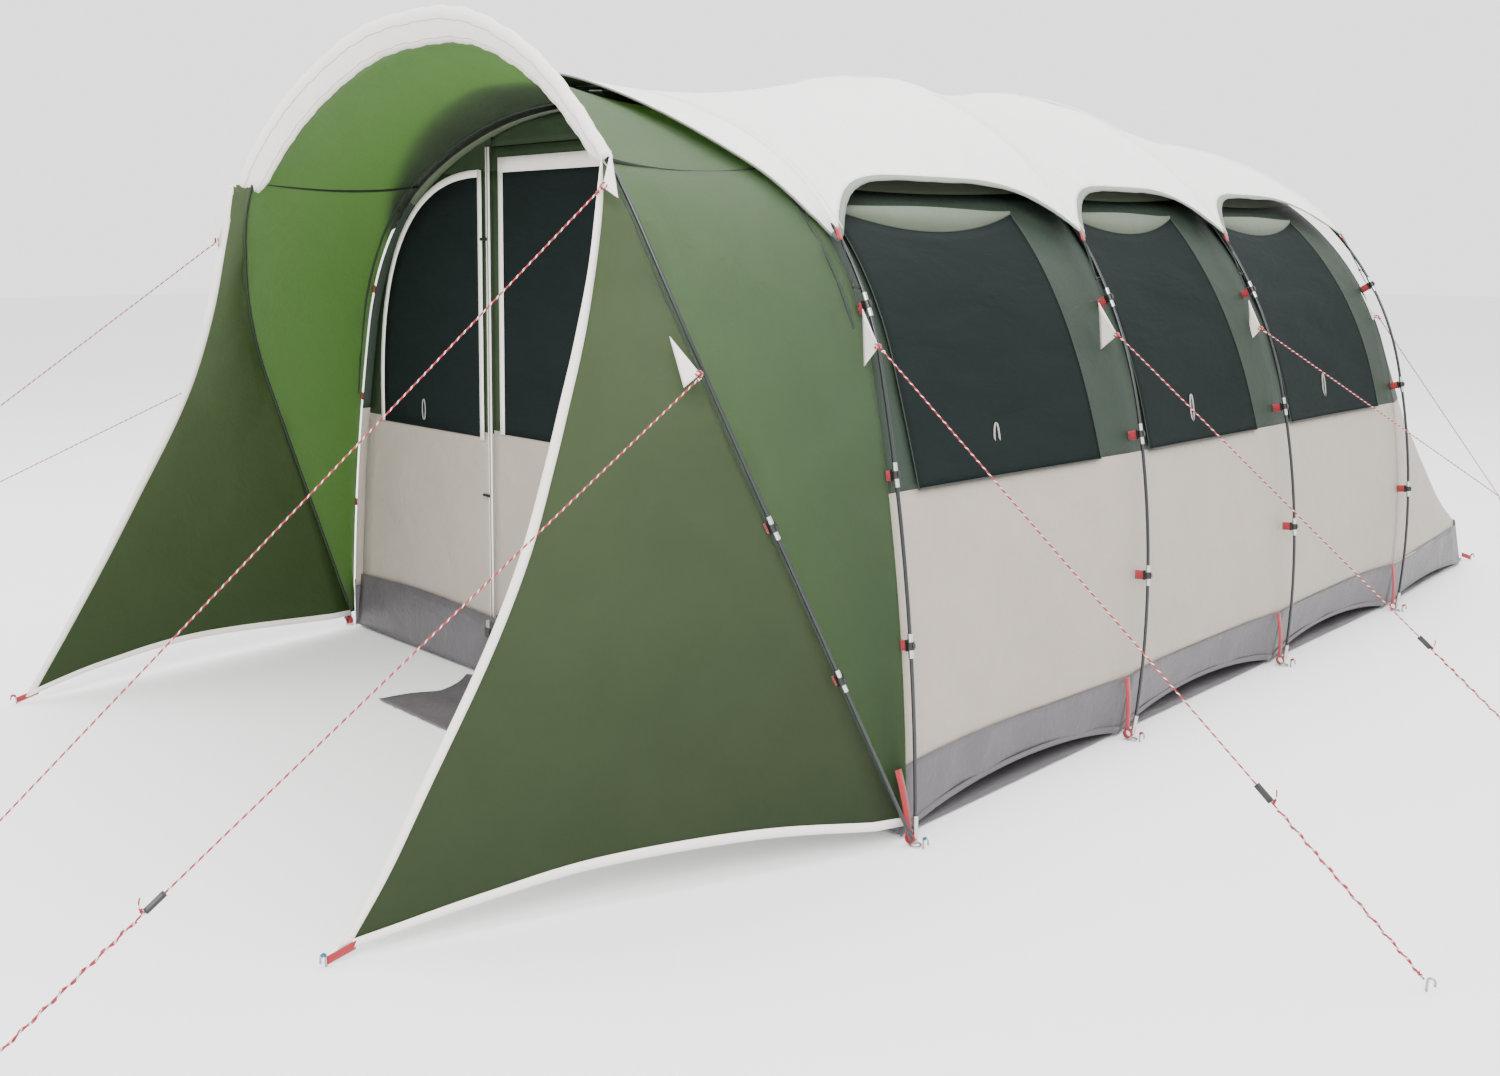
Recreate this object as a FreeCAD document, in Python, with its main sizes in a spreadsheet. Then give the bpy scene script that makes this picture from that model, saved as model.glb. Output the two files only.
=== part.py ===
import FreeCAD, Part
import math
import os
import Sketcher
from FreeCAD import Placement, Rotation, Vector

doc = FreeCAD.newDocument("PoleTent")
sheet = doc.addObject("Spreadsheet::Sheet", "Sizes")

# Driving dimensions, in millimetres and degrees. Y is measured from the front hoop's feet
# until each sub-part gets its Placement, which sets the origin under the tent's middle.
sizes = {
    "bayLength": 1073, "footHalfWidth": 1450, "hoopHeight": 2080, "rearHoopHeight": 1950,
    "legHeel": 4.93, "legRadius": 2970, "legTurn": 20.1, "shoulderTurn": 46,
    "frontHoopHeight": 1952, "frontHeel": -2.5, "frontLegRadius": 5850, "frontLegTurn": 12,
    "frontShoulderTurn": 50, "frontLean": 2, "secondLean": 4, "thirdLean": -1, "rearLean": 0,
    "poleRadius": 5, "footClearance": 20, "ferruleGap": 0.7, "ferruleWall": 1.2,
    "ferruleLength": 62, "segmentLength": 430, "firstJoint": 520, "tipLength": 60,
    "clipWall": 3, "clipGap": 0.4, "clipLength": 20, "tabWidth": 24, "tabThick": 1.6,
    "wallInset": 45, "roofClearance": 5, "cloth": 1.2,
    "tubHeight": 190, "tubInset": 85, "wallSplit": 885, "wallTop": 1620,
    "windowMargin": 45, "windowFrom": 0.06, "windowTo": 0.82,
    "roofTipHeight": 1538, "roofScallop": 158, "roofTieDrop": 188,
    "rearReach": 1205, "rearHalfWidth": 1335,
    "porchShoulderOut": 470, "porchShoulderHalf": 1170, "porchShoulderHeight": 1250,
    "porchBendOut": 540, "porchBendHalf": 962, "porchBendHeight": 1695,
    "porchCornerOut": 497, "porchCornerHalf": 645, "porchCornerHeight": 1952,
    "porchCrownOut": 458, "porchCrownHalf": 250, "porchHeight": 2112,
    "porchInset": 30, "porchTabReach": 20, "sleeveHeight": 1690, "sleeveWidth": 95, "sleeveGap": 9,
    "wingTipRight": 932, "wingTipRightOut": 1337, "wingTipLeft": 1340, "wingTipLeftOut": 1257,
    "wingTopHeight": 1670, "wingHollow": 0.17, "wingHem": 30, "bindingWidth": 26, "bindingThick": 3,
    "doorHalfWidth": 455, "doorSill": 25, "doorTop": 1815, "doorGap": 3, "doorThick": 3,
    "doorCorner": 120, "doorWindowMargin": 60, "doorWindowBottom": 900, "doorBand": 75,
    "frontWindowGap": 65, "frontWindowFar": 1185, "frontWindowBottom": 850,
    "frontWindowTop": 1735, "matHalfWidth": 525, "matDepth": 400, "matThick": 2,
    "zipWidth": 24, "zipThick": 2, "pullWidth": 9, "pullLength": 34, "pullThick": 3.2,
    "cordRadius": 2, "loopRadius": 8, "loopWire": 1.8, "patchThick": 1.6,
    "runnerLength": 46, "runnerWidth": 12, "runnerThick": 7.6, "runnerBore": 2.7,
    "runnerFromPeg": 450, "pegHeight": 34, "pegRadius": 3, "pegHook": 16,
    "pinRadius": 2.2, "pinGap": 0.5, "ringRadius": 15, "ringWire": 2,
    "strapWidth": 22, "strapThick": 1.6, "strapHeight": 190, "toggleLength": 36,
    "toggleRadius": 5,
}
for row, (alias, value) in enumerate(sizes.items(), start=1):
    sheet.set(f"A{row}", alias)
    sheet.set(f"B{row}", str(value))
    sheet.setAlias(f"B{row}", alias)
doc.recompute()


def size(alias):
    return float(sheet.get(alias))


def bind(target, path, formula):
    target.setExpression(path, formula)


def doorLow():
    """The door's lower edge stands a sill above the tub's front wall."""
    return size("tubHeight") + size("doorSill")


subParts = {}
tipPegOut = 2 * size("loopRadius") + 4
tipPegWay = Vector(0.33, -0.944, 0)
cornerPegOut = 3 * size("loopRadius") * math.sqrt(0.5)
frontMost = -size("wingTipRightOut") + tipPegWay.y * (tipPegOut + size("pegHook"))
rearMost = 3 * size("bayLength") + size("rearReach") + cornerPegOut + size("pegHook") * math.sqrt(0.5)
origin = Vector(0, -(frontMost + rearMost) / 2, 0)
home = Placement(origin, Rotation())


def register(name, item):
    item.Label = name
    subParts[name] = item
    return item


def feature(name, shape):
    item = doc.addObject("Part::Feature", name)
    item.Shape = shape
    item.Placement = home.multiply(item.Placement)
    return register(name, item)


def group(name, shapes):
    return feature(name, Part.makeCompound(shapes))


# ---------------------------------------------------------------- lines, tubes and cloth

def along(start, end, share):
    return start + (end - start) * share


def unit(vector):
    copy = Vector(vector)
    copy.normalize()
    return copy


def roundedPath(points, ease=0.45):
    """Straight runs joined by tangent arcs, each as large as its two runs allow."""
    edges = []
    last = points[0]
    for before, corner, after in zip(points, points[1:], points[2:]):
        inward = unit(corner - before)
        outward = unit(after - corner)
        turn = inward.getAngle(outward)
        reach = ease * min((corner - before).Length, (after - corner).Length)
        radius = reach / math.tan(turn / 2)
        begin = corner - inward * reach
        finish = corner + outward * reach
        middle = corner + unit(outward - inward) * (radius / math.cos(turn / 2) - radius)
        edges.append(Part.LineSegment(last, begin).toShape())
        edges.append(Part.Arc(begin, middle, finish).toShape())
        last = finish
    edges.append(Part.LineSegment(last, points[-1]).toShape())
    return Part.Wire(edges)


def tube(path, radius):
    start = path.Edges[0]
    heading = start.tangentAt(start.FirstParameter)
    ring = Part.Wire(Part.makeCircle(radius, start.valueAt(start.FirstParameter), heading))
    return path.makePipeShell([ring], True, False)


def rod(start, end, radius):
    return Part.makeCylinder(radius, (end - start).Length, start, end - start)


def sleeve(middle, direction, inner, outer, length):
    start = middle - unit(direction) * (length / 2)
    shell = Part.makeCylinder(outer, length, start, direction)
    return shell.cut(Part.makeCylinder(inner, length, start, direction))


def patch(a, b, c, d):
    """The ruled face between edge a-b and edge d-c."""
    return Part.makeRuledSurface(Part.makeLine(a, b), Part.makeLine(d, c))


def clothSolid(near, far, keep=None):
    """Closes two grids of points into one sheet; cells for which keep says no are left open."""
    rows = len(near) - 1
    columns = len(near[0]) - 1
    kept = {
        (i, j)
        for i in range(rows)
        for j in range(columns)
        if keep is None or keep(i, j)
    }
    faces = []
    for i, j in sorted(kept):
        corners = [(i, j), (i + 1, j), (i + 1, j + 1), (i, j + 1)]
        beside = [(i, j - 1), (i + 1, j), (i, j + 1), (i - 1, j)]
        faces.append(patch(*(near[r][c] for r, c in corners)))
        faces.append(patch(*(far[r][c] for r, c in corners)))
        for place, (r, c) in enumerate(corners):
            if beside[place] not in kept:
                p, q = corners[(place + 1) % 4]
                faces.append(patch(near[r][c], near[p][q], far[p][q], far[r][c]))
    shell = Part.makeShell(faces)
    shell.sewShape()
    solid = Part.makeSolid(shell)
    if solid.Volume < 0:
        solid.reverse()
    return solid


def edging(line, reach, depth):
    """A narrow band beside a line: reach is its width and depth its thickness."""
    near = [[spot, spot + reach] for spot in line]
    return clothSolid(near, [[spot + depth for spot in row] for row in near])


def slab(corners, thickness):
    """A flat or slightly bent four-sided piece of cloth or webbing, thickened to one side."""
    a, b, c, d = corners
    lift = unit((b - a).cross(d - a)) * thickness
    near = [[a, d], [b, c]]
    far = [[point + lift for point in row] for row in near]
    return clothSolid(near, far)


# ---------------------------------------------------------------- hoops

class Hoop:
    """One bent pole: leg, shoulder and crown arcs, tangent to each other, mirrored about X = 0."""

    def __init__(self, place, lean, height, heel, legRadius, legTurn, shoulderTurn):
        self.place = place
        self.lean = math.radians(lean)
        foot = size("footHalfWidth")
        first = math.radians(heel)
        knee = first - math.radians(legTurn)
        brow = knee - math.radians(shoulderTurn)
        kneeX = foot + legRadius * (math.cos(knee) - math.cos(first))
        kneeZ = legRadius * (math.sin(first) - math.sin(knee))
        a, b = math.cos(brow) - math.cos(knee), -math.cos(brow)
        c, d = math.sin(knee) - math.sin(brow), 1 + math.sin(brow)
        shoulder = (-kneeX * d - b * (height - kneeZ)) / (a * d - b * c)
        crown = (a * (height - kneeZ) + kneeX * c) / (a * d - b * c)
        self.headings = [first, knee, brow, -math.pi / 2]
        self.radii = [legRadius, shoulder, crown]
        self.centres = [
            (foot - legRadius * math.cos(first), legRadius * math.sin(first)),
            (kneeX - shoulder * math.cos(knee), kneeZ + shoulder * math.sin(knee)),
            (0.0, height - crown),
        ]

    def flat(self, heading, offset=0.0, arc=None):
        """(x, height) in the hoop's own plane, on its right half."""
        if arc is None:
            arc = sum(heading < turn for turn in self.headings[1:3])
        x, z = self.centres[arc]
        reach = self.radii[arc] + offset
        return x + reach * math.cos(heading), z - reach * math.sin(heading)

    def lift(self, x, height):
        return Vector(
            x, self.place + height * math.sin(self.lean), height * math.cos(self.lean)
        )

    def point(self, heading, offset=0.0, side=1):
        x, height = self.flat(heading, offset)
        return self.lift(side * x, height)

    def headingAt(self, height, offset=0.0):
        """The heading at which the right half, offset, reaches this height."""
        low, high = -math.pi / 2, self.headings[0]
        for _ in range(50):
            middle = (low + high) / 2
            if self.flat(middle, offset)[1] > height:
                low = middle
            else:
                high = middle
        return (low + high) / 2

    def outward(self, heading, side=1):
        tilt = Vector(0, math.sin(self.lean), math.cos(self.lean))
        return Vector(side * math.cos(heading), 0, 0) - tilt * math.sin(heading)

    def along(self, heading, side=1):
        tilt = Vector(0, math.sin(self.lean), math.cos(self.lean))
        return Vector(side * math.sin(heading), 0, 0) + tilt * math.cos(heading)

    def stretch(self, startHeading, endHeading, offset=0.0, side=1):
        """Arc edges from one heading to another on one side."""
        edges = []
        knees = [turn for turn in self.headings[1:3] if endHeading < turn < startHeading]
        stops = [startHeading, *knees, endHeading]
        for first, last in zip(stops, stops[1:]):
            middle = (first + last) / 2
            arc = sum(middle < turn for turn in self.headings[1:3])
            spots = []
            for turn in (first, middle, last):
                x, height = self.flat(turn, offset, arc)
                spots.append(self.lift(side * x, height))
            edges.append(Part.Arc(*spots).toShape())
        return edges

    def path(self):
        foot = self.headingAt(size("footClearance"))
        top = -math.pi / 2
        edges = self.stretch(foot, top) + self.stretch(foot, top, 0.0, -1)
        return Part.Wire(Part.__sortEdges__(edges))

    def headingAfter(self, length):
        """The heading this far along the pole from its foot."""
        for first, last, radius in zip(self.headings, self.headings[1:], self.radii):
            arc = radius * (first - last)
            if length <= arc:
                return first - length / radius
            length -= arc
        return self.headings[-1]


def middleHoop(index, lean, height):
    return Hoop(
        index * size("bayLength"), size(lean), size(height), size("legHeel"),
        size("legRadius"), size("legTurn"), size("shoulderTurn"),
    )


frontHoop = Hoop(
    0.0, size("frontLean"), size("frontHoopHeight"), size("frontHeel"),
    size("frontLegRadius"), size("frontLegTurn"), size("frontShoulderTurn"),
)
hoops = [
    frontHoop,
    middleHoop(1, "secondLean", "hoopHeight"),
    middleHoop(2, "thirdLean", "hoopHeight"),
    middleHoop(3, "rearLean", "rearHoopHeight"),
]
hoopNames = ["front", "second", "third", "rear"]


def porchKnots(inset=0.0):
    """Corners of the porch pole's route, from the right foot over the crown to the left foot."""
    half = [
        Vector(size("footHalfWidth"), 0, size("footClearance")),
        Vector(size("porchShoulderHalf"), -size("porchShoulderOut"), size("porchShoulderHeight")),
        Vector(size("porchBendHalf"), -size("porchBendOut"), size("porchBendHeight")),
        Vector(size("porchCornerHalf"), -size("porchCornerOut"), size("porchCornerHeight")),
        Vector(size("porchCrownHalf"), -size("porchCrownOut"), size("porchHeight")),
    ]
    middle = Vector(0, -size("porchCrownOut"), size("wallSplit"))
    pulled = [spot - unit(Vector(spot.x, 0, spot.z - middle.z / 2)) * inset for spot in half]
    mirrored = [Vector(-spot.x, spot.y, spot.z) for spot in reversed(pulled)]
    return pulled + mirrored


def porchAtHeight(height, side=1, inset=0.0):
    """The point of the porch pole's leg at this height."""
    knots = porchKnots(inset)[:4]
    for low, high in zip(knots, knots[1:]):
        if height <= high.z:
            spot = along(low, high, (height - low.z) / (high.z - low.z))
            return Vector(side * spot.x, spot.y, spot.z)


porchFoot = Vector(0, -2.6 * size("poleRadius"), 0)  # the two poles stand side by side


def makePoles():
    for hoop, name in zip(hoops, hoopNames):
        feature(f"pole_hoop_{name}", tube(hoop.path(), size("poleRadius")))
    knots = [spot + porchFoot for spot in porchKnots()]
    feature("porch_pole", tube(roundedPath(knots), size("poleRadius")))


# ---------------------------------------------------------------- pole fittings

def hoopJoints(hoop):
    """Headings of the pole's section joints on one side, counted from the foot."""
    spots = []
    length = size("firstJoint")
    while length < size("footHalfWidth") + size("roofTipHeight"):
        heading = hoop.headingAfter(length)
        if heading <= -math.pi / 2 + 0.02:
            break
        spots.append(heading)
        length += size("segmentLength")
    return spots


def makeFerrules():
    inner = size("poleRadius") + size("ferruleGap")
    outer = inner + size("ferruleWall")
    rings = []
    for hoop in hoops:
        for heading in hoopJoints(hoop):
            for side in (1, -1):
                spot = hoop.point(heading, 0, side)
                rings.append(sleeve(spot, hoop.along(heading, side), inner, outer, size("ferruleLength")))
    for middle, direction in porchClipSpots():
        rings.append(sleeve(middle, direction, inner, outer, size("ferruleLength")))
    group("pole_ferrules", rings)


def porchClipSpots():
    """Middle and direction of the porch pole's lower joints, on its straight legs."""
    foot, shoulder = porchKnots()[:2]
    spots = []
    for height in (size("firstJoint") - 60, size("firstJoint") + 330):
        for side in (1, -1):
            spot = porchAtHeight(height, side) + porchFoot
            lean = shoulder - foot
            spots.append((spot, Vector(side * lean.x, lean.y, lean.z)))
    return spots


def clipPlaces():
    """(middle, direction, outward, reach to the cloth) for every clip that hangs the walls on the poles."""
    places = []
    for hoop in hoops:
        for turn in hoopJoints(hoop)[:3]:
            for side in (1, -1):
                reach = size("wallInset") - size("cloth") - 1
                spot = hoop.point(turn, 0, side)
                places.append((spot, hoop.along(turn, side), hoop.outward(turn, side), reach))
    for middle, direction in porchClipSpots():
        side = math.copysign(1, middle.x)
        outward = unit(direction.cross(Vector(0, -side, 0.25)))
        places.append((middle, direction, outward, size("porchTabReach")))
    return places


def makeClips():
    inner = size("poleRadius") + size("ferruleGap") + size("ferruleWall") + size("clipGap")
    outer = inner + size("clipWall")
    clips = []
    tabs = []
    for middle, direction, outward, reach in clipPlaces():
        clips.append(sleeve(middle, direction, inner, outer, size("clipLength")))
        upward = unit(direction) * (size("tabWidth") / 2)
        near = middle - outward * (outer + 0.5)
        far = middle - outward * reach
        tabs.append(slab([near - upward, near + upward, far + upward, far - upward], size("tabThick")))
    group("pole_clips", clips)
    group("clip_tabs", tabs)


def makeTips():
    """Steel caps over the hoops' lower ends."""
    inner = size("poleRadius") + size("ferruleGap")
    tips = []
    for hoop in hoops:
        foot = hoop.headingAt(size("footClearance"))
        for side in (1, -1):
            direction = hoop.along(foot, side)
            middle = hoop.point(foot, 0, side) + direction * size("tipLength") / 2
            tips.append(sleeve(middle, direction, inner, inner + size("ferruleWall"), size("tipLength")))
    group("pole_tips", tips)


# ---------------------------------------------------------------- tent body cloth

def hoopRow(hoop, offset, heights=None, arch=None, side=1):
    """Points on one hoop's offset line: at heights on one side, or over the arch from a height."""
    if arch is None:
        return [hoop.point(hoop.headingAt(z, offset), offset, side) for z in heights]
    low, steps = arch
    first = hoop.headingAt(low, offset)
    turns = [first + (-math.pi / 2 - first) * k / steps for k in range(steps + 1)]
    right = [hoop.point(turn, offset) for turn in turns]
    left = [Vector(-spot.x, spot.y, spot.z) for spot in reversed(right[:-1])]
    return right + left


def between(rowA, rowB, share):
    return [along(a, b, share) for a, b in zip(rowA, rowB)]


def wallRows(offset, heights, shares, side):
    rows = []
    for number, (front, back) in enumerate(zip(hoops, hoops[1:])):
        first = hoopRow(front, offset, heights, None, side)
        second = hoopRow(back, offset, heights, None, side)
        stops = shares if number == 0 else shares[1:]
        rows += [between(first, second, share) for share in stops]
    return rows


def wallSheet(heights, shares, side, keep=None):
    inset = -size("wallInset")
    return clothSolid(
        wallRows(inset, heights, shares, side),
        wallRows(inset + size("cloth"), heights, shares, side),
        keep,
    )


def makeWalls():
    margin = size("windowMargin")
    heights = [size("wallSplit"), size("wallSplit") + margin, size("wallTop") - margin, size("wallTop")]
    shares = [0, size("windowFrom"), size("windowTo"), 1]
    steps = len(shares) - 1
    for side, name in ((1, "right"), (-1, "left")):
        lower = [size("tubHeight"), size("wallSplit")]
        feature(f"lower_wall_{name}", wallSheet(lower, [0, 1], side))
        inWindow = lambda i, j: i % steps == 1 and j == 1
        feature(f"upper_wall_{name}", wallSheet(heights, shares, side, lambda i, j: not inWindow(i, j)))
        panes = []
        for front, back in zip(hoops, hoops[1:]):
            grids = []
            for offset in (0, size("cloth")):
                inset = offset - size("wallInset")
                line = [hoopRow(hoop, inset, heights[1:3], None, side) for hoop in (front, back)]
                grids.append([between(*line, share) for share in shares[1:3]])
            panes.append(clothSolid(*grids))
        group(f"side_windows_{name}", panes)


archSteps = 14


def makeInnerRoof():
    grids = []
    for extra in (0, size("cloth")):
        offset = extra - size("wallInset")
        grids.append([hoopRow(hoop, offset, None, (size("wallTop"), archSteps)) for hoop in hoops])
    feature("inner_roof", clothSolid(*grids))


def makeRoofFly():
    """The pale outer roof: its side edge rises in a scallop between the hoops."""
    parts = 4
    grids = []
    for extra in (0, size("cloth")):
        offset = size("poleRadius") + size("roofClearance") + extra
        rows = []
        for number, (front, back) in enumerate(zip(hoops, hoops[1:])):
            for step in range(0 if number == 0 else 1, parts + 1):
                share = step / parts
                edge = size("roofTipHeight") + size("roofScallop") * (1 - (2 * share - 1) ** 4)
                lines = [hoopRow(hoop, offset, None, (edge, archSteps)) for hoop in (front, back)]
                rows.append(between(*lines, share))
        grids.append(rows)
    feature("roof_fly", clothSolid(*grids))
    binding = []
    for edgeColumn, side in ((0, 1), (-1, -1)):
        slope = Vector(side * 0.72, 0, -0.69)
        line = [row[edgeColumn] + slope for row in grids[1]]
        binding.append(edging(line, slope * (size("bindingWidth") / 2), Vector(side * 0.69, 0, 0.72) * 1.5))
    group("roof_binding", binding)


def rearRail(height, offset):
    """Points along the rear wall's lower edge, right corner to left corner."""
    back = 3 * size("bayLength") + size("rearReach") + offset
    half = size("rearHalfWidth")
    slope = size("rearReach") / size("rearHoopHeight") * height * 0.55
    side = [Vector(half + offset * 0.6 - 12 * k, back - 150 + 37 * k - slope, height) for k in range(5)]
    rear = [Vector((half - 48) * (1 - k / 3), back - slope, height) for k in range(1, 4)]
    right = side + rear
    return right + [Vector(-spot.x, spot.y, spot.z) for spot in reversed(right[:-1])]


def makeRearWall():
    steps = 7
    grids = []
    for extra in (0, size("cloth")):
        offset = extra - size("wallInset")
        arch = hoopRow(hoops[3], offset, None, (size("tubHeight"), steps))
        shifted = [spot + Vector(0, 3, 0) for spot in arch]
        grids.append([shifted, between(shifted, rearRail(size("tubHeight"), extra), 0.5),
                      rearRail(size("tubHeight"), extra)])
    middle = lambda i, j: i == 1 and 6 <= j <= 7
    feature("rear_wall", clothSolid(*grids, lambda i, j: not middle(i, j)))
    pane = [[[row[j] for j in (6, 7, 8)] for row in grid[1:3]] for grid in grids]
    feature("rear_window", clothSolid(*pane))


def tubOutline(inset, height, rise):
    """The tub's outline at one height; it leans out to the wall's line at its top."""
    xFront = size("footHalfWidth") - size("tubInset") + rise - inset
    xRear = size("rearHalfWidth") + rise * 0.3 - inset
    back = 3 * size("bayLength")
    rear = back + size("rearReach") - inset - rise
    front = wallSet + 6 + inset
    spots = [
        Vector(xFront, front, height), Vector(xFront, back, height),
        Vector(xRear, rear, height), Vector(-xRear, rear, height),
        Vector(-xFront, back, height), Vector(-xFront, front, height),
    ]
    return Part.makePolygon(spots + spots[:1])


def makeTub():
    floor = size("cloth")
    rise = size("tubInset") - size("wallInset")
    high = size("tubHeight")
    outer = Part.makeLoft([tubOutline(0, 0, 0), tubOutline(0, high - 1, rise)], True, True)
    inner = Part.makeLoft([tubOutline(floor, floor, 0), tubOutline(floor, high, rise)], True, True)
    feature("groundsheet_tub", outer.cut(inner))


# ---------------------------------------------------------------- front wall and door

def turned(shape, hoop):
    """Leans a piece drawn upright on Y = 0 into the front hoop's plane."""
    copy = shape.copy()
    copy.rotate(Vector(0, 0, 0), Vector(1, 0, 0), -math.degrees(hoop.lean))
    return copy


def archFace(inset, bottom):
    """The face inside the front hoop, above a height, upright on Y = 0."""
    upright = Hoop(
        0.0, 0.0, size("frontHoopHeight"), size("frontHeel"), size("frontLegRadius"),
        size("frontLegTurn"), size("frontShoulderTurn"),
    )
    first = upright.headingAt(bottom, -inset)
    right = upright.stretch(first, -math.pi / 2, -inset)
    left = upright.stretch(first, -math.pi / 2, -inset, -1)
    ends = [upright.point(first, -inset, side) for side in (1, -1)]
    base = Part.makeLine(*ends)
    return Part.Face(Part.Wire(Part.__sortEdges__([*right, *left, base])))


def quarterWindow(side, grow=0.0):
    """A window with an upright inner edge, a level sill and one round outer edge."""
    near, far = size("doorHalfWidth") + size("frontWindowGap") - grow, size("frontWindowFar") + grow
    low, high = size("frontWindowBottom") - grow, size("frontWindowTop") + grow
    heel = Vector(side * near, 0, low)
    top = Vector(side * near, 0, high)
    out = Vector(side * far, 0, low)
    bow = Vector(side * (near + (far - near) * 0.76), 0, low + (high - low) * 0.68)
    edges = [Part.makeLine(out, heel), Part.makeLine(heel, top), Part.Arc(top, bow, out).toShape()]
    return Part.Face(Part.Wire(edges))


def doorBox(gap, thickness):
    wide = size("doorHalfWidth") + gap
    tall = size("doorTop") - doorLow() + 2 * gap
    box = Part.makeBox(2 * wide, thickness, tall, Vector(-wide, -thickness / 2, doorLow() - gap))
    tops = [e for e in box.Edges if abs(e.CenterOfMass.z - size("doorTop") - gap) < 1e-6
            and abs(abs(e.CenterOfMass.x) - wide) < 1e-6]
    return box.makeFillet(size("doorCorner") + gap, tops)


wallSet = 30.0  # the front wall hangs this far behind the front hoop's plane


def makeFrontWall():
    cloth = size("cloth")
    wall = archFace(size("wallInset") + 2, size("tubHeight")).extrude(Vector(0, cloth, 0))
    wall.translate(Vector(0, -cloth / 2, 0))
    cutters = [doorBox(size("doorGap"), 40)]
    panes = []
    for side in (1, -1):
        hole = quarterWindow(side).extrude(Vector(0, 40, 0))
        hole.translate(Vector(0, -20, 0))
        cutters.append(hole)
        pane = quarterWindow(side).extrude(Vector(0, cloth, 0))
        pane.translate(Vector(0, -cloth / 2, 0))
        panes.append(pane)
    for cutter in cutters:
        wall = wall.cut(cutter)
    shift = Vector(0, wallSet, 0)
    wall.translate(shift)
    feature("front_wall", turned(wall, frontHoop))
    for pane in panes:
        pane.translate(shift)
    group("front_windows", [turned(pane, frontHoop) for pane in panes])


def doorPlacement():
    lean = Rotation(Vector(1, 0, 0), -size("frontLean"))
    return Placement(origin, lean)


def planeOf(body, role):
    return next(item for item in body.Origin.OriginFeatures if item.Role == role)


def rectangle(sketch, left, low, right, high, formulas):
    """A rectangle whose four sides are held at distances bound to the sheet."""
    spots = [Vector(left, low, 0), Vector(right, low, 0), Vector(right, high, 0), Vector(left, high, 0)]
    for number in range(4):
        sketch.addGeometry(Part.LineSegment(spots[number], spots[(number + 1) % 4]), False)
    for number in range(4):
        sketch.addConstraint(Sketcher.Constraint("Coincident", number, 2, (number + 1) % 4, 1))
    for number, kind in enumerate(("Horizontal", "Vertical", "Horizontal", "Vertical")):
        sketch.addConstraint(Sketcher.Constraint(kind, number))
    measures = (
        ("DistanceX", 0, 1, left), ("DistanceY", 0, 1, low),
        ("DistanceX", 1, 2, right), ("DistanceY", 2, 2, high),
    )
    for (kind, line, end, value), formula in zip(measures, formulas):
        index = sketch.addConstraint(Sketcher.Constraint(kind, -1, 1, line, end, value))
        bind(sketch, f"Constraints[{index}]", formula)


def makeDoor():
    """Door leaf: a flat panel with a window opening, drawn on the front plane."""
    body = doc.addObject("PartDesign::Body", "front_door")
    outline = body.newObject("Sketcher::SketchObject", "DoorOutline")
    outline.AttachmentSupport = [(planeOf(body, "XZ_Plane"), "")]
    outline.MapMode = "FlatFace"
    half, low, high = size("doorHalfWidth"), doorLow(), size("doorTop")
    rectangle(outline, -half, low, half, high, (
        "-Sizes.doorHalfWidth", "Sizes.tubHeight + Sizes.doorSill", "Sizes.doorHalfWidth", "Sizes.doorTop"))
    pad = body.newObject("PartDesign::Pad", "DoorPad")
    pad.Profile = outline
    pad.Midplane = True
    bind(pad, "Length", "Sizes.doorThick")
    doc.recompute()
    corners = [
        f"Edge{number}" for number, edge in enumerate(pad.Shape.Edges, start=1)
        if abs(edge.CenterOfMass.z - high) < 1e-6 and abs(abs(edge.CenterOfMass.x) - half) < 1e-6
    ]
    rounding = body.newObject("PartDesign::Fillet", "DoorCorners")
    rounding.Base = (pad, corners)
    bind(rounding, "Radius", "Sizes.doorCorner")
    opening = body.newObject("Sketcher::SketchObject", "DoorOpening")
    opening.AttachmentSupport = [(planeOf(body, "XZ_Plane"), "")]
    opening.MapMode = "FlatFace"
    margin = size("doorWindowMargin")
    rectangle(opening, -half + margin, size("doorWindowBottom"), half - margin, high - size("doorBand"), (
        "-Sizes.doorHalfWidth + Sizes.doorWindowMargin", "Sizes.doorWindowBottom",
        "Sizes.doorHalfWidth - Sizes.doorWindowMargin", "Sizes.doorTop - Sizes.doorBand"))
    cut = body.newObject("PartDesign::Pocket", "DoorWindow")
    cut.Profile = opening
    cut.Midplane = True
    cut.Type = "Length"
    bind(cut, "Length", "Sizes.doorThick * 3")
    body.Placement = Placement(origin + wallShift(), doorPlacement().Rotation)
    register("front_door", body)
    pane = doc.addObject("Part::Box", "door_window")
    bind(pane, "Length", "2 * (Sizes.doorHalfWidth - Sizes.doorWindowMargin)")
    bind(pane, "Width", "Sizes.cloth")
    bind(pane, "Height", "Sizes.doorTop - Sizes.doorBand - Sizes.doorWindowBottom")
    corner = Vector(-(half - margin), -size("cloth") / 2, size("doorWindowBottom"))
    lean = doorPlacement().Rotation
    pane.Placement = Placement(origin + wallShift() + lean.multVec(corner), lean)
    register("door_window", pane)


def wallShift():
    """From the front hoop's plane to the front wall's plane."""
    return doorPlacement().Rotation.multVec(Vector(0, wallSet, 0))


def leanVector(x, y, z):
    """A point given on the upright front wall, put where the leaning wall has it."""
    return doorPlacement().Rotation.multVec(Vector(x, y + wallSet, z))


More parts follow.
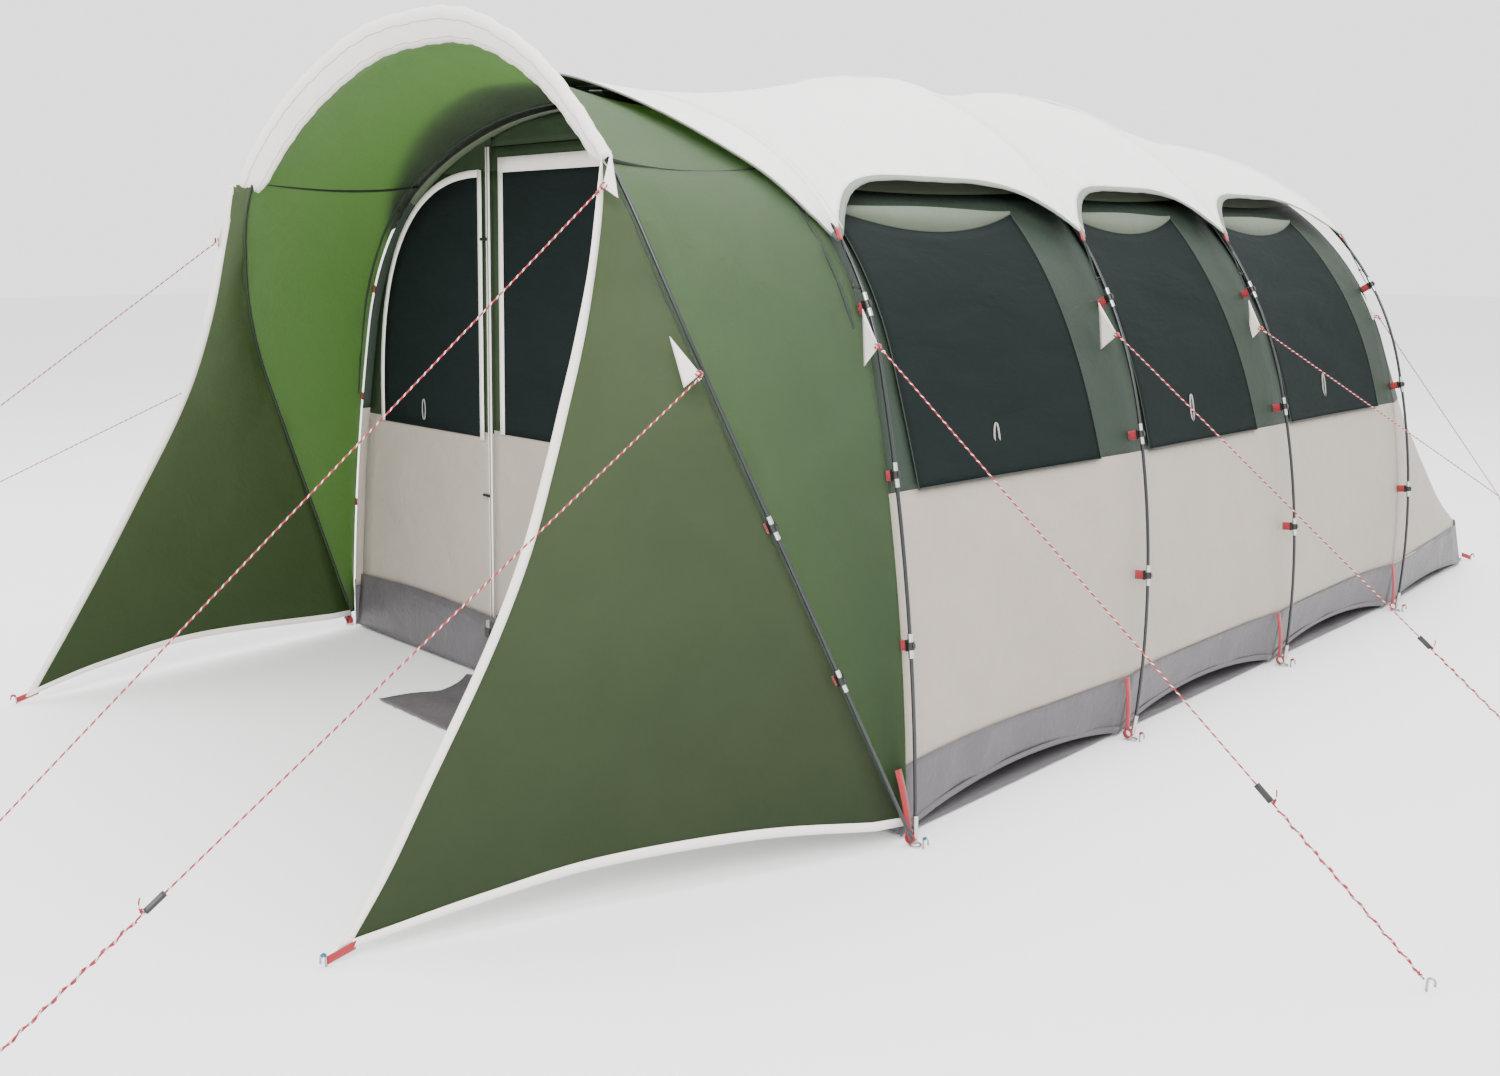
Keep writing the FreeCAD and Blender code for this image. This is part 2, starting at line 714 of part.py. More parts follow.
def makeZips():
    """Zip tape beside the door's free edge and under it, and the slider that runs on it."""
    thick = size("zipThick")
    front = -size("doorThick") / 2 - thick
    edge = size("doorHalfWidth") + size("doorGap")
    wide = size("zipWidth")
    low, high = doorLow(), size("doorTop") - size("doorCorner")
    upright = Part.makeBox(wide, thick, high - low, Vector(edge + 2, front, low))
    hinge = Part.makeBox(wide, thick, high - low, Vector(-edge - 2 - wide, front, low))
    group("zip_tapes", [placedOnFront(upright), placedOnFront(hinge)])
    body = doc.addObject("PartDesign::Body", "zip_pull")
    sketch = body.newObject("Sketcher::SketchObject", "PullOutline")
    sketch.AttachmentSupport = [(planeOf(body, "XZ_Plane"), "")]
    sketch.MapMode = "FlatFace"
    half = size("pullWidth") / 2
    rectangle(sketch, -half, 0, half, size("pullLength"), (
        "-Sizes.pullWidth / 2", "0", "Sizes.pullWidth / 2", "Sizes.pullLength"))
    pad = body.newObject("PartDesign::Pad", "PullPad")
    pad.Profile = sketch
    bind(pad, "Length", "Sizes.pullThick")
    doc.recompute()
    uprights = [
        f"Edge{number}" for number, edge in enumerate(pad.Shape.Edges, start=1)
        if abs(edge.tangentAt(edge.FirstParameter).y) > 0.9
    ]
    ends = body.newObject("PartDesign::Fillet", "PullEnds")
    ends.Base = (pad, uprights)
    bind(ends, "Radius", "Sizes.pullWidth * 0.4")
    spot = leanVector(edge + 2 + wide / 2, front - 0.6, low + 30)
    body.Placement = Placement(origin + spot, doorPlacement().Rotation)
    register("zip_pull", body)


def placedOnFront(shape):
    copy = shape.copy()
    copy.translate(Vector(0, wallSet, 0))
    return turned(copy, frontHoop)


def makeSill():
    """The mat that lies in front of the door, with two hollow sides."""
    half, deep = size("matHalfWidth"), size("matDepth")
    back = -20.0
    corners = [Vector(x, y, 0) for x, y in ((-half, -deep), (half, -deep), (half, back), (-half, back))]
    bow = 70.0
    edges = [
        Part.makeLine(corners[0], corners[1]),
        Part.Arc(corners[1], Vector(half - bow, (back - deep) / 2, 0), corners[2]).toShape(),
        Part.makeLine(corners[2], corners[3]),
        Part.Arc(corners[3], Vector(-half + bow, (back - deep) / 2, 0), corners[0]).toShape(),
    ]
    feature("sill_mat", Part.Face(Part.Wire(edges)).extrude(Vector(0, 0, size("matThick"))))


def makeToggles():
    """Toggles on the hinge side that hold the rolled door, and the loops of the window blinds."""
    x = -size("doorHalfWidth") - size("doorGap") - size("zipWidth") - 12
    front = -size("doorThick") / 2 - size("zipThick") - size("toggleRadius") - 0.5
    toggles = []
    for height in (650, 1520):
        start = leanVector(x - size("toggleLength") / 2, front, height)
        toggles.append(rod(start, start + Vector(size("toggleLength"), 0, 0), size("toggleRadius")))
    group("door_toggles", toggles)


def makeWindowLoops():
    """A small webbing loop at the foot of each side window."""
    loops = []
    for front, back in zip(hoops, hoops[1:]):
        for side in (1, -1):
            offset = size("cloth") + 1 - size("wallInset")
            spots = [hoopRow(hoop, offset, [935, 1025], None, side) for hoop in (front, back)]
            low, high = between(*spots, 0.5)
            across = Vector(0, 6, 0)
            loops.append(slab([low - across, low + across, high + across, high - across], 1.5 * side))
    group("window_loops", loops)


# ---------------------------------------------------------------- porch

def porchRow(inset, steps, low=0.0):
    """Evenly spaced points of the porch pole's line, as far as it is above a height."""
    path = roundedPath(porchKnots(inset))
    spots = [Vector(spot) for spot in path.discretize(801) if spot.z >= low]
    last = len(spots) - 1
    return [spots[round(last * k / (2 * steps))] for k in range(2 * steps + 1)]


def makePorch():
    steps = 9
    low = 190.0
    grids = []
    for extra in (0, size("cloth")):
        hoopLine = hoopRow(frontHoop, extra - size("porchInset"), None, (low, steps))
        hoopLine = [spot - Vector(0, 4, 0) for spot in hoopLine]
        poleLine = porchRow(size("porchInset") - extra, steps, low)
        grids.append([poleLine, hoopLine])
    feature("porch_canopy", clothSolid(*grids))
    group("porch_binding", [makeWing(side, name) for side, name in ((1, "right"), (-1, "left"))])
    band = []
    for extra in (0, size("cloth")):
        path = [spot for spot in porchRow(-size("poleRadius") - size("sleeveGap") - extra, 24)
                if spot.z > size("sleeveHeight")]
        half = Vector(0, size("sleeveWidth") / 2, 0)
        band.append([[spot + shift + porchFoot for spot in path] for shift in (-half, half)])
    feature("porch_sleeve", clothSolid(*band))


def wingTip(side):
    if side == 1:
        return Vector(size("wingTipRight"), -size("wingTipRightOut"), 0)
    return Vector(-size("wingTipLeft"), -size("wingTipLeftOut"), 0)


def wingGrids(side, extra, steps=6):
    """Rows from the hem up: the pole's line and the hollow front edge."""
    tip = wingTip(side)
    top = size("wingTopHeight")
    poleLine = []
    edgeLine = []
    head = porchAtHeight(top, side, size("porchInset")) + Vector(0, -60, 0)
    for step in range(steps + 1):
        share = step / steps
        height = size("wingHem") + (top - size("wingHem")) * share
        back = porchAtHeight(height, side, size("porchInset")) + Vector(0, -3, 0)
        straight = along(Vector(tip.x, tip.y, size("wingHem")), head, share)
        hollow = math.sin(math.pi * share) * size("wingHollow")
        edge = along(straight, back, hollow)
        poleLine.append(back)
        edgeLine.append(Vector(edge.x, edge.y, height))
    sideways = Vector(side * extra, -extra * 0.4, 0)
    return [[spot + sideways for spot in poleLine], [spot + sideways for spot in edgeLine]]


def makeWing(side, name):
    """Builds one wing and returns the binding that runs down its front edge."""
    near = wingGrids(side, 0)
    feature(f"porch_wing_{name}", clothSolid(near, wingGrids(side, size("cloth"))))
    line = [spot + Vector(0, -0.6, 0) for spot in near[1]]
    reach = Vector(0, -size("bindingThick"), 0)
    return edging(line, reach, Vector(side * size("cloth"), -size("cloth") * 0.4, 0))


# ---------------------------------------------------------------- feet, pegs and straps

def pegShape():
    """A wire peg as it stands out of the ground: shaft and level hook."""
    tall, hook, wire = size("pegHeight"), size("pegHook"), size("pegRadius")
    shaft = Part.makeCylinder(wire, tall)
    arm = Part.makeBox(hook, wire, wire, Vector(0, -wire / 2, tall - 1.5 * wire))
    return shaft.fuse(arm).removeSplitter()


def standPeg(spot, toward):
    shape = pegShape()
    shape.rotate(Vector(0, 0, 0), Vector(0, 0, 1), math.degrees(math.atan2(toward.y, toward.x)))
    shape.translate(spot)
    return shape


def hoopFoot(hoop, side):
    return Vector(side * size("footHalfWidth"), hoop.place, 0)


def makeFeet():
    pins = []
    rings = []
    straps = []
    pegs = []
    ring = size("ringRadius")
    wire = size("ringWire")
    for hoop in hoops:
        for side in (1, -1):
            foot = hoopFoot(hoop, side)
            pinLow = foot + Vector(0, 0, 2 * wire + 0.4)
            pinHigh = foot + Vector(0, 0, size("footClearance") - 2)
            pins.append(rod(pinLow, pinHigh, size("pinRadius")))
            middle = foot + Vector(0, 0, wire)
            rings.append(sleeve(middle, Vector(0, 0, 1), ring - wire, ring + wire, 2 * wire))
            outer = foot + Vector(side * (ring + wire + size("pegRadius") + 6), 0, 0)
            pegs.append(standPeg(outer, Vector(side, 0, 0)))
            low = foot + Vector(-side * (ring + wire + 4), 0, 5)
            inside = size("footHalfWidth") - size("wallInset") + 6
            high = Vector(side * inside, hoop.place, size("strapHeight"))
            wide = Vector(0, size("strapWidth") / 2, 0)
            straps.append(slab([low - wide, low + wide, high + wide, high - wide], size("strapThick")))
    group("foot_pins", pins)
    group("foot_rings", rings)
    group("foot_straps", straps)
    for tip, toward in cornerPegs():
        pegs.append(standPeg(tip, toward))
    group("ground_pegs", pegs)


def cornerPegs():
    """Pegs at the wing tips and at the rear corners, hooks facing away from the cloth."""
    spots = []
    for side in (1, -1):
        tip = wingTip(side)
        out = Vector(side * tipPegWay.x, tipPegWay.y, 0)
        spots.append((tip + out * tipPegOut, out))
        corner = Vector(side * size("rearHalfWidth"), 3 * size("bayLength") + size("rearReach"), 0)
        away = Vector(side, 1, 0)
        spots.append((corner + away * cornerPegOut, away))
    return spots


# ---------------------------------------------------------------- roof corners

def makeRoofTies():
    """Red tab and doubled elastic that pull each roof corner down to the wall."""
    tabs = []
    elastics = []
    offset = size("poleRadius") + size("roofClearance")
    low = size("roofTipHeight") - size("roofTieDrop")
    for hoop in hoops:
        for side in (1, -1):
            tip = hoop.point(hoop.headingAt(size("roofTipHeight"), offset), offset, side)
            foot = hoop.point(hoop.headingAt(low), -8, side) + Vector(0, -25, 0)
            start = tip + Vector(side * 3, -18, -8)
            drop = unit(foot - start) * 26
            wide = Vector(0, 7, 0)
            tabs.append(slab([start - wide, start + wide, start + drop + wide, start + drop - wide], 1.6))
            for shift in (-4, 4):
                top = start + drop * 1.15 + Vector(0, shift, 0)
                elastics.append(rod(top, foot + Vector(0, shift * 0.5, 0), 1.5))
    group("roof_corner_tabs", tabs)
    group("roof_elastics", elastics)


# ---------------------------------------------------------------- guy lines

# Each line: its loop, the patch's two corners on the cloth, and its peg, chosen by hand
guyRoutes = {
    "porch_upper": [(989, -605, 1622), (983, -569, 1706), (1005, -569, 1602), (490, -2210, 24)],
    "porch_lower": [(1205, -500, 1215), (1140, -540, 1300), (1164, -520, 1185), (950, -2090, 24)],
    "front": [(1300, 0, 1255), (1232, 12, 1345), (1240, 12, 1205), (2614, 204, 24)],
    "second": [(1320, 1080, 1235), (1235, 1100, 1330), (1250, 1100, 1190), (2400, 1740, 24)],
    "third": [(1300, 2080, 1210), (1235, 2095, 1310), (1250, 2095, 1165), (2190, 4020, 24)],
    "rear": [(1272, 3200, 1210), (1190, 3203, 1310), (1205, 3203, 1165), (1470, 4950, 24)],
    "left_porch": [(-1088, -579, 1510), (-1034, -600, 1600), (-1056, -590, 1485), (-2150, -2280, 24)],
    "left_front": [(-1300, 0, 1255), (-1232, 12, 1345), (-1240, 12, 1205), (-2950, -2000, 24)],
}
patchOnly = ["porch_lower", "second", "third", "rear"]  # mirrored to the left, where no line is set


def guyPath(start, end):
    """One long straight run, as the line is pulled tight."""
    return Part.Wire([Part.LineSegment(start, end).toShape()])


def makeGuyLines():
    pegs = []
    for name, spots in guyRoutes.items():
        start, end = Vector(*spots[0]), Vector(*spots[3])
        path = guyPath(start, end)
        line = tube(path, size("cordRadius"))
        expected = math.pi * size("cordRadius") ** 2 * path.Length
        print(f"guy_line_{name}: {path.Length:.0f} mm, volume ratio {line.Volume / expected:.4f}, straight")
        feature(f"guy_line_{name}", line)
        flat = unit(Vector(end.x - start.x, end.y - start.y, 0))
        beyond = flat * (size("cordRadius") + size("pegRadius") + 1)
        pegs.append(standPeg(Vector(end.x, end.y, 0) + beyond, flat))
        makeRunner(name, start, end)
    group("guy_pegs", pegs)


def makeRunner(name, start, end):
    """A flat slider with the cord through its long bore, free to slide on the line."""
    body = doc.addObject("PartDesign::Body", f"runner_{name}")
    sketch = body.newObject("Sketcher::SketchObject", f"RunnerOutline_{name}")
    sketch.AttachmentSupport = [(planeOf(body, "XY_Plane"), "")]
    sketch.MapMode = "FlatFace"
    half, thick = size("runnerWidth") / 2, size("runnerThick") / 2
    rectangle(sketch, -half, -thick, half, thick, (
        "-Sizes.runnerWidth / 2", "-Sizes.runnerThick / 2",
        "Sizes.runnerWidth / 2", "Sizes.runnerThick / 2"))
    pad = body.newObject("PartDesign::Pad", f"RunnerPad_{name}")
    pad.Profile = sketch
    bind(pad, "Length", "Sizes.runnerLength")
    doc.recompute()
    bore = body.newObject("Sketcher::SketchObject", f"RunnerBore_{name}")
    bore.AttachmentSupport = [(planeOf(body, "XY_Plane"), "")]
    bore.MapMode = "FlatFace"
    circle = bore.addGeometry(Part.Circle(Vector(0, 0, 0), Vector(0, 0, 1), size("runnerBore")), False)
    bore.addConstraint(Sketcher.Constraint("Coincident", circle, 3, -1, 1))
    index = bore.addConstraint(Sketcher.Constraint("Radius", circle, size("runnerBore")))
    bind(bore, f"Constraints[{index}]", "Sizes.runnerBore")
    cut = body.newObject("PartDesign::Pocket", f"RunnerHole_{name}")
    cut.Profile = bore
    cut.Type = "ThroughAll"
    cut.Reversed = True
    doc.recompute()
    direction = unit(start - end)
    spot = end + direction * size("runnerFromPeg")
    body.Placement = Placement(origin + spot, Rotation(Vector(0, 0, 1), direction))
    register(f"runner_{name}", body)
    print(f"JOINT runner_{name} axis {direction.x:.6f} {direction.y:.6f} {direction.z:.6f}")


def makePatches():
    """Triangular patches on the cloth by the poles, and the ring at the outer corner of each."""
    patches = []
    loops = []
    places = [[Vector(*spot) for spot in spots[:3]] for spots in guyRoutes.values()]
    for name in patchOnly:
        places.append([Vector(-x, y, z) for x, y, z in guyRoutes[name][:3]])
    inner, outer = size("loopRadius") - size("loopWire"), size("loopRadius") + size("loopWire")
    for tip, high, low in places:
        inward = unit((high + low) / 2 - tip)
        back = tip + inward * (2 * outer + 5)
        normal = unit((high - back).cross(low - back)) * size("patchThick")
        corners = [spot - normal / 2 for spot in (back, high, low)]
        patches.append(Part.Face(Part.makePolygon(corners + corners[:1])).extrude(normal))
        loops.append(sleeve(tip + inward * (outer + 3.5), normal, inner, outer, 2 * size("loopWire")))
    group("guy_patches", patches)
    group("guy_loops", loops)


# ---------------------------------------------------------------- build

for make in (
    makePoles, makeFerrules, makeClips, makeTips, makeWalls, makeInnerRoof, makeRoofFly,
    makeRearWall, makeTub, makeFrontWall, makeDoor, makeZips, makeSill, makeToggles,
    makeWindowLoops, makePorch, makeFeet, makeRoofTies, makeGuyLines, makePatches,
):
    make()
    print("made", make.__name__)
doc.recompute()

for item in doc.Objects:
    if "Invalid" in item.State or "Error" in item.State:
        raise RuntimeError(f"{item.Name} failed: {item.State}")
faulty = [name for name, item in subParts.items() if item.Shape.isNull() or not item.Shape.isValid()]
if faulty:
    raise RuntimeError(f"no valid shape: {faulty}")

os.makedirs("parts", exist_ok=True)
for name, item in subParts.items():
    item.Shape.exportStep(f"parts/{name}.step")
hinge = leanVector(-size("doorHalfWidth") - size("doorGap") / 2, 0, doorLow()) + origin
print(f"JOINT door {hinge.x:.3f} {hinge.y:.3f} {hinge.z:.3f}")
print("ORIGIN", origin)
print(len(subParts), "sub-parts")
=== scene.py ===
import math

import bpy
import numpy as np
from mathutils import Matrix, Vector, noise


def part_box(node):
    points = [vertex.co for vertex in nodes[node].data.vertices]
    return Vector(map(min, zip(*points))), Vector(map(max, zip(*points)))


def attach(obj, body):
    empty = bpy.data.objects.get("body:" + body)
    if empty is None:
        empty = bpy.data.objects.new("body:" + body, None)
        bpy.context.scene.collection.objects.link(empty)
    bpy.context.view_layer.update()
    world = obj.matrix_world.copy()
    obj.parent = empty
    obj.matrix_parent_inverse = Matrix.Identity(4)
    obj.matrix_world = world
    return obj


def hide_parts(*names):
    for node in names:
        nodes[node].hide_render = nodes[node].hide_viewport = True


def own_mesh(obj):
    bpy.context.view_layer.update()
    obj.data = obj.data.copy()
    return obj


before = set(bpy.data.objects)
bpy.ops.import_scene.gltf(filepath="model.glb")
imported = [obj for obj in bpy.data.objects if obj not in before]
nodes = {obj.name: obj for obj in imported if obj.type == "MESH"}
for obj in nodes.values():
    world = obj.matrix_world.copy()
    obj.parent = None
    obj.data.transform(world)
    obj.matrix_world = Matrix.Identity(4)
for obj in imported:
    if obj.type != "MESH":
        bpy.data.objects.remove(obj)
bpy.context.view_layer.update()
rearLow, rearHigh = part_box("pole_hoop_rear")
tent = {
    "hoopSpacing": 1.073,  # from hoop to hoop
    "footHalfWidth": 1.45,  # from the middle to the feet of a hoop
    "rearReach": 1.205,  # from the rear hoop to the foot of the rear wall
    "cloth": 0.0445,  # how far the walls hang inside the line of the poles
}
rearPlace = 3 * tent["hoopSpacing"]
yShift = (rearLow[1] + rearHigh[1]) / 2 - rearPlace  # the front hoop's feet stand at this Y
print("stage: frame loaded", len(nodes), "nodes")


def newMaterial(name):
    material = bpy.data.materials.new(name)
    material.use_nodes = True
    tree = material.node_tree
    return material, tree, tree.nodes["Principled BSDF"]


def setColour(shader, colour, rough, metal=0.0):
    shader.inputs["Base Color"].default_value = (*colour, 1)
    shader.inputs["Roughness"].default_value = rough
    shader.inputs["Metallic"].default_value = metal


def addNode(tree, kind, **values):
    node = tree.nodes.new(kind)
    for key, value in values.items():
        if key in node.inputs:
            node.inputs[key].default_value = value
        else:
            setattr(node, key, value)
    return node


def paintedShadeAndLightUp(tree, place, source, paintedLightLevels):
    # painted shade and light: darkens a colour near the ground and paints light on it towards the top, as if
    # lit from above
    parts = addNode(tree, "ShaderNodeSeparateXYZ")
    tree.links.new(place.outputs["Object"], parts.inputs["Vector"])
    scale = addNode(tree, "ShaderNodeMath", operation="DIVIDE")
    scale.inputs[1].default_value = 2.0
    tree.links.new(parts.outputs["Z"], scale.inputs[0])
    ramp = addNode(tree, "ShaderNodeValToRGB")
    ramp.color_ramp.elements.new(0.45)
    for element, spot, level in zip(ramp.color_ramp.elements, (0.0, 0.45, 0.95), paintedLightLevels):
        element.position = spot
        element.color = (level, level, level, 1)
    tree.links.new(scale.outputs["Value"], ramp.inputs["Fac"])
    blend = addNode(tree, "ShaderNodeMixRGB", blend_type="MULTIPLY")
    blend.inputs["Fac"].default_value = 1.0
    tree.links.new(source.outputs["Color"], blend.inputs["Color1"])
    tree.links.new(ramp.outputs["Color"], blend.inputs["Color2"])
    return blend


def clothMaterial(name, colour, look):
    # woven, lightly coated cloth: folds at two sizes, a fine weave and painted shade that slightly darkens
    # the colour in the hollows of the larger folds
    material, tree, shader = newMaterial(name)
    setColour(shader, colour, look.get("rough", 0.62))
    shader.inputs["Specular IOR Level"].default_value = look.get("shine", 0.3)
    shader.inputs["Sheen Weight"].default_value = look.get("sheen", 0.08)
    link = tree.links.new
    place = addNode(tree, "ShaderNodeTexCoord")
    stretch = addNode(tree, "ShaderNodeMapping")
    stretch.inputs["Scale"].default_value = look.get("stretch", (1, 1, 1))
    link(place.outputs["Object"], stretch.inputs["Vector"])
    folds = addNode(tree, "ShaderNodeTexNoise", Scale=5.0, Detail=3.0, Roughness=0.5, Distortion=0.6)
    link(stretch.outputs["Vector"], folds.inputs["Vector"])
    creaseSize = look.get("creaseSize", 26.0)
    creases = addNode(tree, "ShaderNodeTexNoise", Scale=creaseSize, Detail=4.0, Roughness=0.6, Distortion=1.2)
    link(stretch.outputs["Vector"], creases.inputs["Vector"])
    weave = addNode(tree, "ShaderNodeTexNoise", Scale=900.0, Detail=2.0)
    link(place.outputs["Object"], weave.inputs["Vector"])
    bumps = None
    for source, strength, distance in (
        (folds, look.get("foldDepth", 0.35), 0.02),
        (creases, look.get("creaseDepth", 0.25), 0.004),
        (weave, 0.12, 0.0006),
    ):
        bump = addNode(tree, "ShaderNodeBump", Strength=strength, Distance=distance)
        link(source.outputs["Fac"], bump.inputs["Height"])
        if bumps:
            link(bumps.outputs["Normal"], bump.inputs["Normal"])
        bumps = bump
    link(bumps.outputs["Normal"], shader.inputs["Normal"])
    # painted shade: the colour darkens where the larger fold bumps sink
    blend = addNode(tree, "ShaderNodeMixRGB", blend_type="MULTIPLY")
    blend.inputs["Fac"].default_value = look.get("foldShade", 0.25)
    blend.inputs["Color1"].default_value = (*colour, 1)
    ramp = addNode(tree, "ShaderNodeValToRGB")
    ramp.color_ramp.elements[0].position = 0.3
    ramp.color_ramp.elements[0].color = (0.7, 0.7, 0.7, 1)
    ramp.color_ramp.elements[1].position = 0.7
    link(folds.outputs["Fac"], ramp.inputs["Fac"])
    link(ramp.outputs["Color"], blend.inputs["Color2"])
    last = blend
    # painted shade near the ground and painted light towards the top, when the look asks for it
    if look.get("fade"):
        last = paintedShadeAndLightUp(tree, place, blend, look["fade"])
    link(last.outputs["Color"], shader.inputs["Base Color"])
    if look.get("glow"):
        through = addNode(tree, "ShaderNodeBsdfTranslucent")
        through.inputs["Color"].default_value = (*look.get("glowColour", colour), 1)
        link(bumps.outputs["Normal"], through.inputs["Normal"])
        mix = addNode(tree, "ShaderNodeMixShader")
        mix.inputs["Fac"].default_value = look["glow"]
        link(shader.outputs["BSDF"], mix.inputs[1])
        link(through.outputs["BSDF"], mix.inputs[2])
        link(mix.outputs["Shader"], tree.nodes["Material Output"].inputs["Surface"])
    return material


def plainMaterial(name, colour, rough, metal=0.0, bumpScale=0.0, coat=0.0):
    material, tree, shader = newMaterial(name)
    setColour(shader, colour, rough, metal)
    shader.inputs["Coat Weight"].default_value = coat
    if bumpScale:
        place = addNode(tree, "ShaderNodeTexCoord")
        grain = addNode(tree, "ShaderNodeTexNoise", Scale=bumpScale, Detail=3.0)
        tree.links.new(place.outputs["Object"], grain.inputs["Vector"])
        bump = addNode(tree, "ShaderNodeBump", Strength=0.15, Distance=0.0005)
        tree.links.new(grain.outputs["Fac"], bump.inputs["Height"])
        tree.links.new(bump.outputs["Normal"], shader.inputs["Normal"])
    return material


def webbingMaterial(name, colour):
    # ribbed woven tape
    material, tree, shader = newMaterial(name)
    setColour(shader, colour, 0.7)
    shader.inputs["Sheen Weight"].default_value = 0.2
    place = addNode(tree, "ShaderNodeTexCoord")
    ribs = addNode(tree, "ShaderNodeTexWave", Scale=260.0, Distortion=1.0)
    tree.links.new(place.outputs["Object"], ribs.inputs["Vector"])
    bump = addNode(tree, "ShaderNodeBump", Strength=0.5, Distance=0.0006)
    tree.links.new(ribs.outputs["Fac"], bump.inputs["Height"])
    tree.links.new(bump.outputs["Normal"], shader.inputs["Normal"])
    return material


def cordMaterial(name, base, fleck):
    # braided cord whose flecks wind round its own Z axis
    material, tree, shader = newMaterial(name)
    setColour(shader, base, 0.65)
    link = tree.links.new
    place = addNode(tree, "ShaderNodeTexCoord")
    parts = addNode(tree, "ShaderNodeSeparateXYZ")
    link(place.outputs["Object"], parts.inputs["Vector"])
    angle = addNode(tree, "ShaderNodeMath", operation="ARCTAN2")
    link(parts.outputs["Y"], angle.inputs[0])
    link(parts.outputs["X"], angle.inputs[1])
    wind = addNode(tree, "ShaderNodeMath", operation="MULTIPLY_ADD")
    wind.inputs[1].default_value = 2 * math.pi / 0.021  # one turn of the flecks every 21 mm
    link(parts.outputs["Z"], wind.inputs[0])
    link(angle.outputs["Value"], wind.inputs[2])
    wave = addNode(tree, "ShaderNodeMath", operation="SINE")
    link(wind.outputs["Value"], wave.inputs[0])
    ramp = addNode(tree, "ShaderNodeValToRGB")
    ramp.color_ramp.elements[0].position = 0.62
    ramp.color_ramp.elements[0].color = (*base, 1)
    ramp.color_ramp.elements[1].position = 0.72
    ramp.color_ramp.elements[1].color = (*fleck, 1)
    link(wave.outputs["Value"], ramp.inputs["Fac"])
    link(ramp.outputs["Color"], shader.inputs["Base Color"])
    return material


greenLook = {
    "rough": 0.55, "shine": 0.12, "sheen": 0.0, "foldShade": 0.35, "creaseDepth": 0.6, "foldDepth": 0.5,
    "glow": 0.06, "glowColour": (0.12, 0.20, 0.08),
}
wrinkled = {"rough": 0.6, "creaseDepth": 0.6, "foldDepth": 0.7}
cloth = {
    "green": clothMaterial("green cloth", (0.030, 0.043, 0.032), greenLook),
    # the canopy and the wings get painted shade near the ground and painted light towards the top (the fade
    # levels)
    "canopy": clothMaterial("canopy cloth", (0.072, 0.096, 0.063), {
        **greenLook, "glow": 0.44, "glowColour": (0.34, 0.54, 0.20), "fade": (0.40, 0.75, 1.20)}),
    "wing": clothMaterial("wing cloth", (0.055, 0.074, 0.038), {
        **greenLook, "glow": 0.32, "glowColour": (0.21, 0.33, 0.115), "fade": (0.48, 0.92, 1.45)}),
    "greenDeep": clothMaterial("deep green cloth", (0.026, 0.042, 0.021), greenLook),
    "roof": clothMaterial("roof cloth", (0.90, 0.885, 0.87), {**wrinkled, "foldShade": 0.06, "glow": 0.1}),
    "olive": clothMaterial("olive underside", (0.085, 0.107, 0.064), {"rough": 0.6}),
    "hood": clothMaterial("window hood", (0.071, 0.092, 0.058), {"rough": 0.6, "creaseSize": 60}),
    "beige": clothMaterial("beige cloth", (0.325, 0.286, 0.240), {**wrinkled, "foldShade": 0.2}),
    "cream": clothMaterial("cream binding", (0.80, 0.765, 0.70), {
        "rough": 0.7, "foldShade": 0.08, "creaseSize": 90}),
    "grey": clothMaterial("ground cloth", (0.092, 0.084, 0.092), {
        "rough": 0.42, "shine": 0.35, "sheen": 0.0, "foldShade": 0.4, "creaseDepth": 0.8, "foldDepth": 0.9}),
    "greyDark": clothMaterial("dark hem", (0.085, 0.080, 0.085), {"rough": 0.5}),
    "window": clothMaterial("window film", (0.0092, 0.0135, 0.0130), {
        "rough": 0.6, "shine": 0.03, "foldDepth": 0.6, "creaseDepth": 0.5, "stretch": (0.5, 0.5, 1.5),
        "foldShade": 0.35, "sheen": 0.0}),
    "seam": clothMaterial("dark seam and pole shadow", (0.017, 0.026, 0.017), {"rough": 0.6, "creaseSize": 90}),
    "edge": clothMaterial("grey green binding", (0.165, 0.180, 0.150), {"rough": 0.7, "creaseSize": 90}),
}
red = webbingMaterial("red webbing", (0.27, 0.002, 0.010))
greyWeb = webbingMaterial("grey webbing", (0.24, 0.235, 0.215))
black = plainMaterial("black plastic", (0.007, 0.007, 0.007), 0.35, 0, 300)
poleSkin = plainMaterial("pole", (0.006, 0.008, 0.010), 0.28, 0, 120, 0.2)
steel = plainMaterial("steel", (0.55, 0.55, 0.55), 0.28, 1.0, 400)
pegSteel = plainMaterial("peg steel", (0.34, 0.35, 0.36), 0.3, 1.0, 300)
blueCap = plainMaterial("blue cap", (0.004, 0.085, 0.17), 0.4)
redCap = plainMaterial("red cap", (0.25, 0.002, 0.008), 0.4)
cordSkin = cordMaterial("guy cord", (0.27, 0.003, 0.014), (0.62, 0.60, 0.58))
elastic = plainMaterial("elastic", (0.008, 0.012, 0.010), 0.6, 0, 500)
print("stage: materials")


walls = {
    "low": 0.17,
    "split": 0.885,  # the seam between the beige and the green cloth, at the front hoop
    "splitFall": 0.007,  # and its drop from hoop to hoop
    "high": 1.66,
    "sag": 0.022,
}

# each hoop: lean along the tent, crown height, angle at the foot, and its leg and shoulder arcs
roundHoop = {
    "lean": 0.0, "height": 2.08, "heel": 4.93, "legRadius": 2.97, "legTurn": 20.1, "shoulderTurn": 46.0,
}
hoopShapes = (
    {"lean": 2.0, "height": 1.952, "heel": -2.5, "legRadius": 5.85, "legTurn": 12.0, "shoulderTurn": 50.0},
    {**roundHoop, "lean": 4.0},
    {**roundHoop, "lean": -1.0},
    {**roundHoop, "height": 1.95},
)


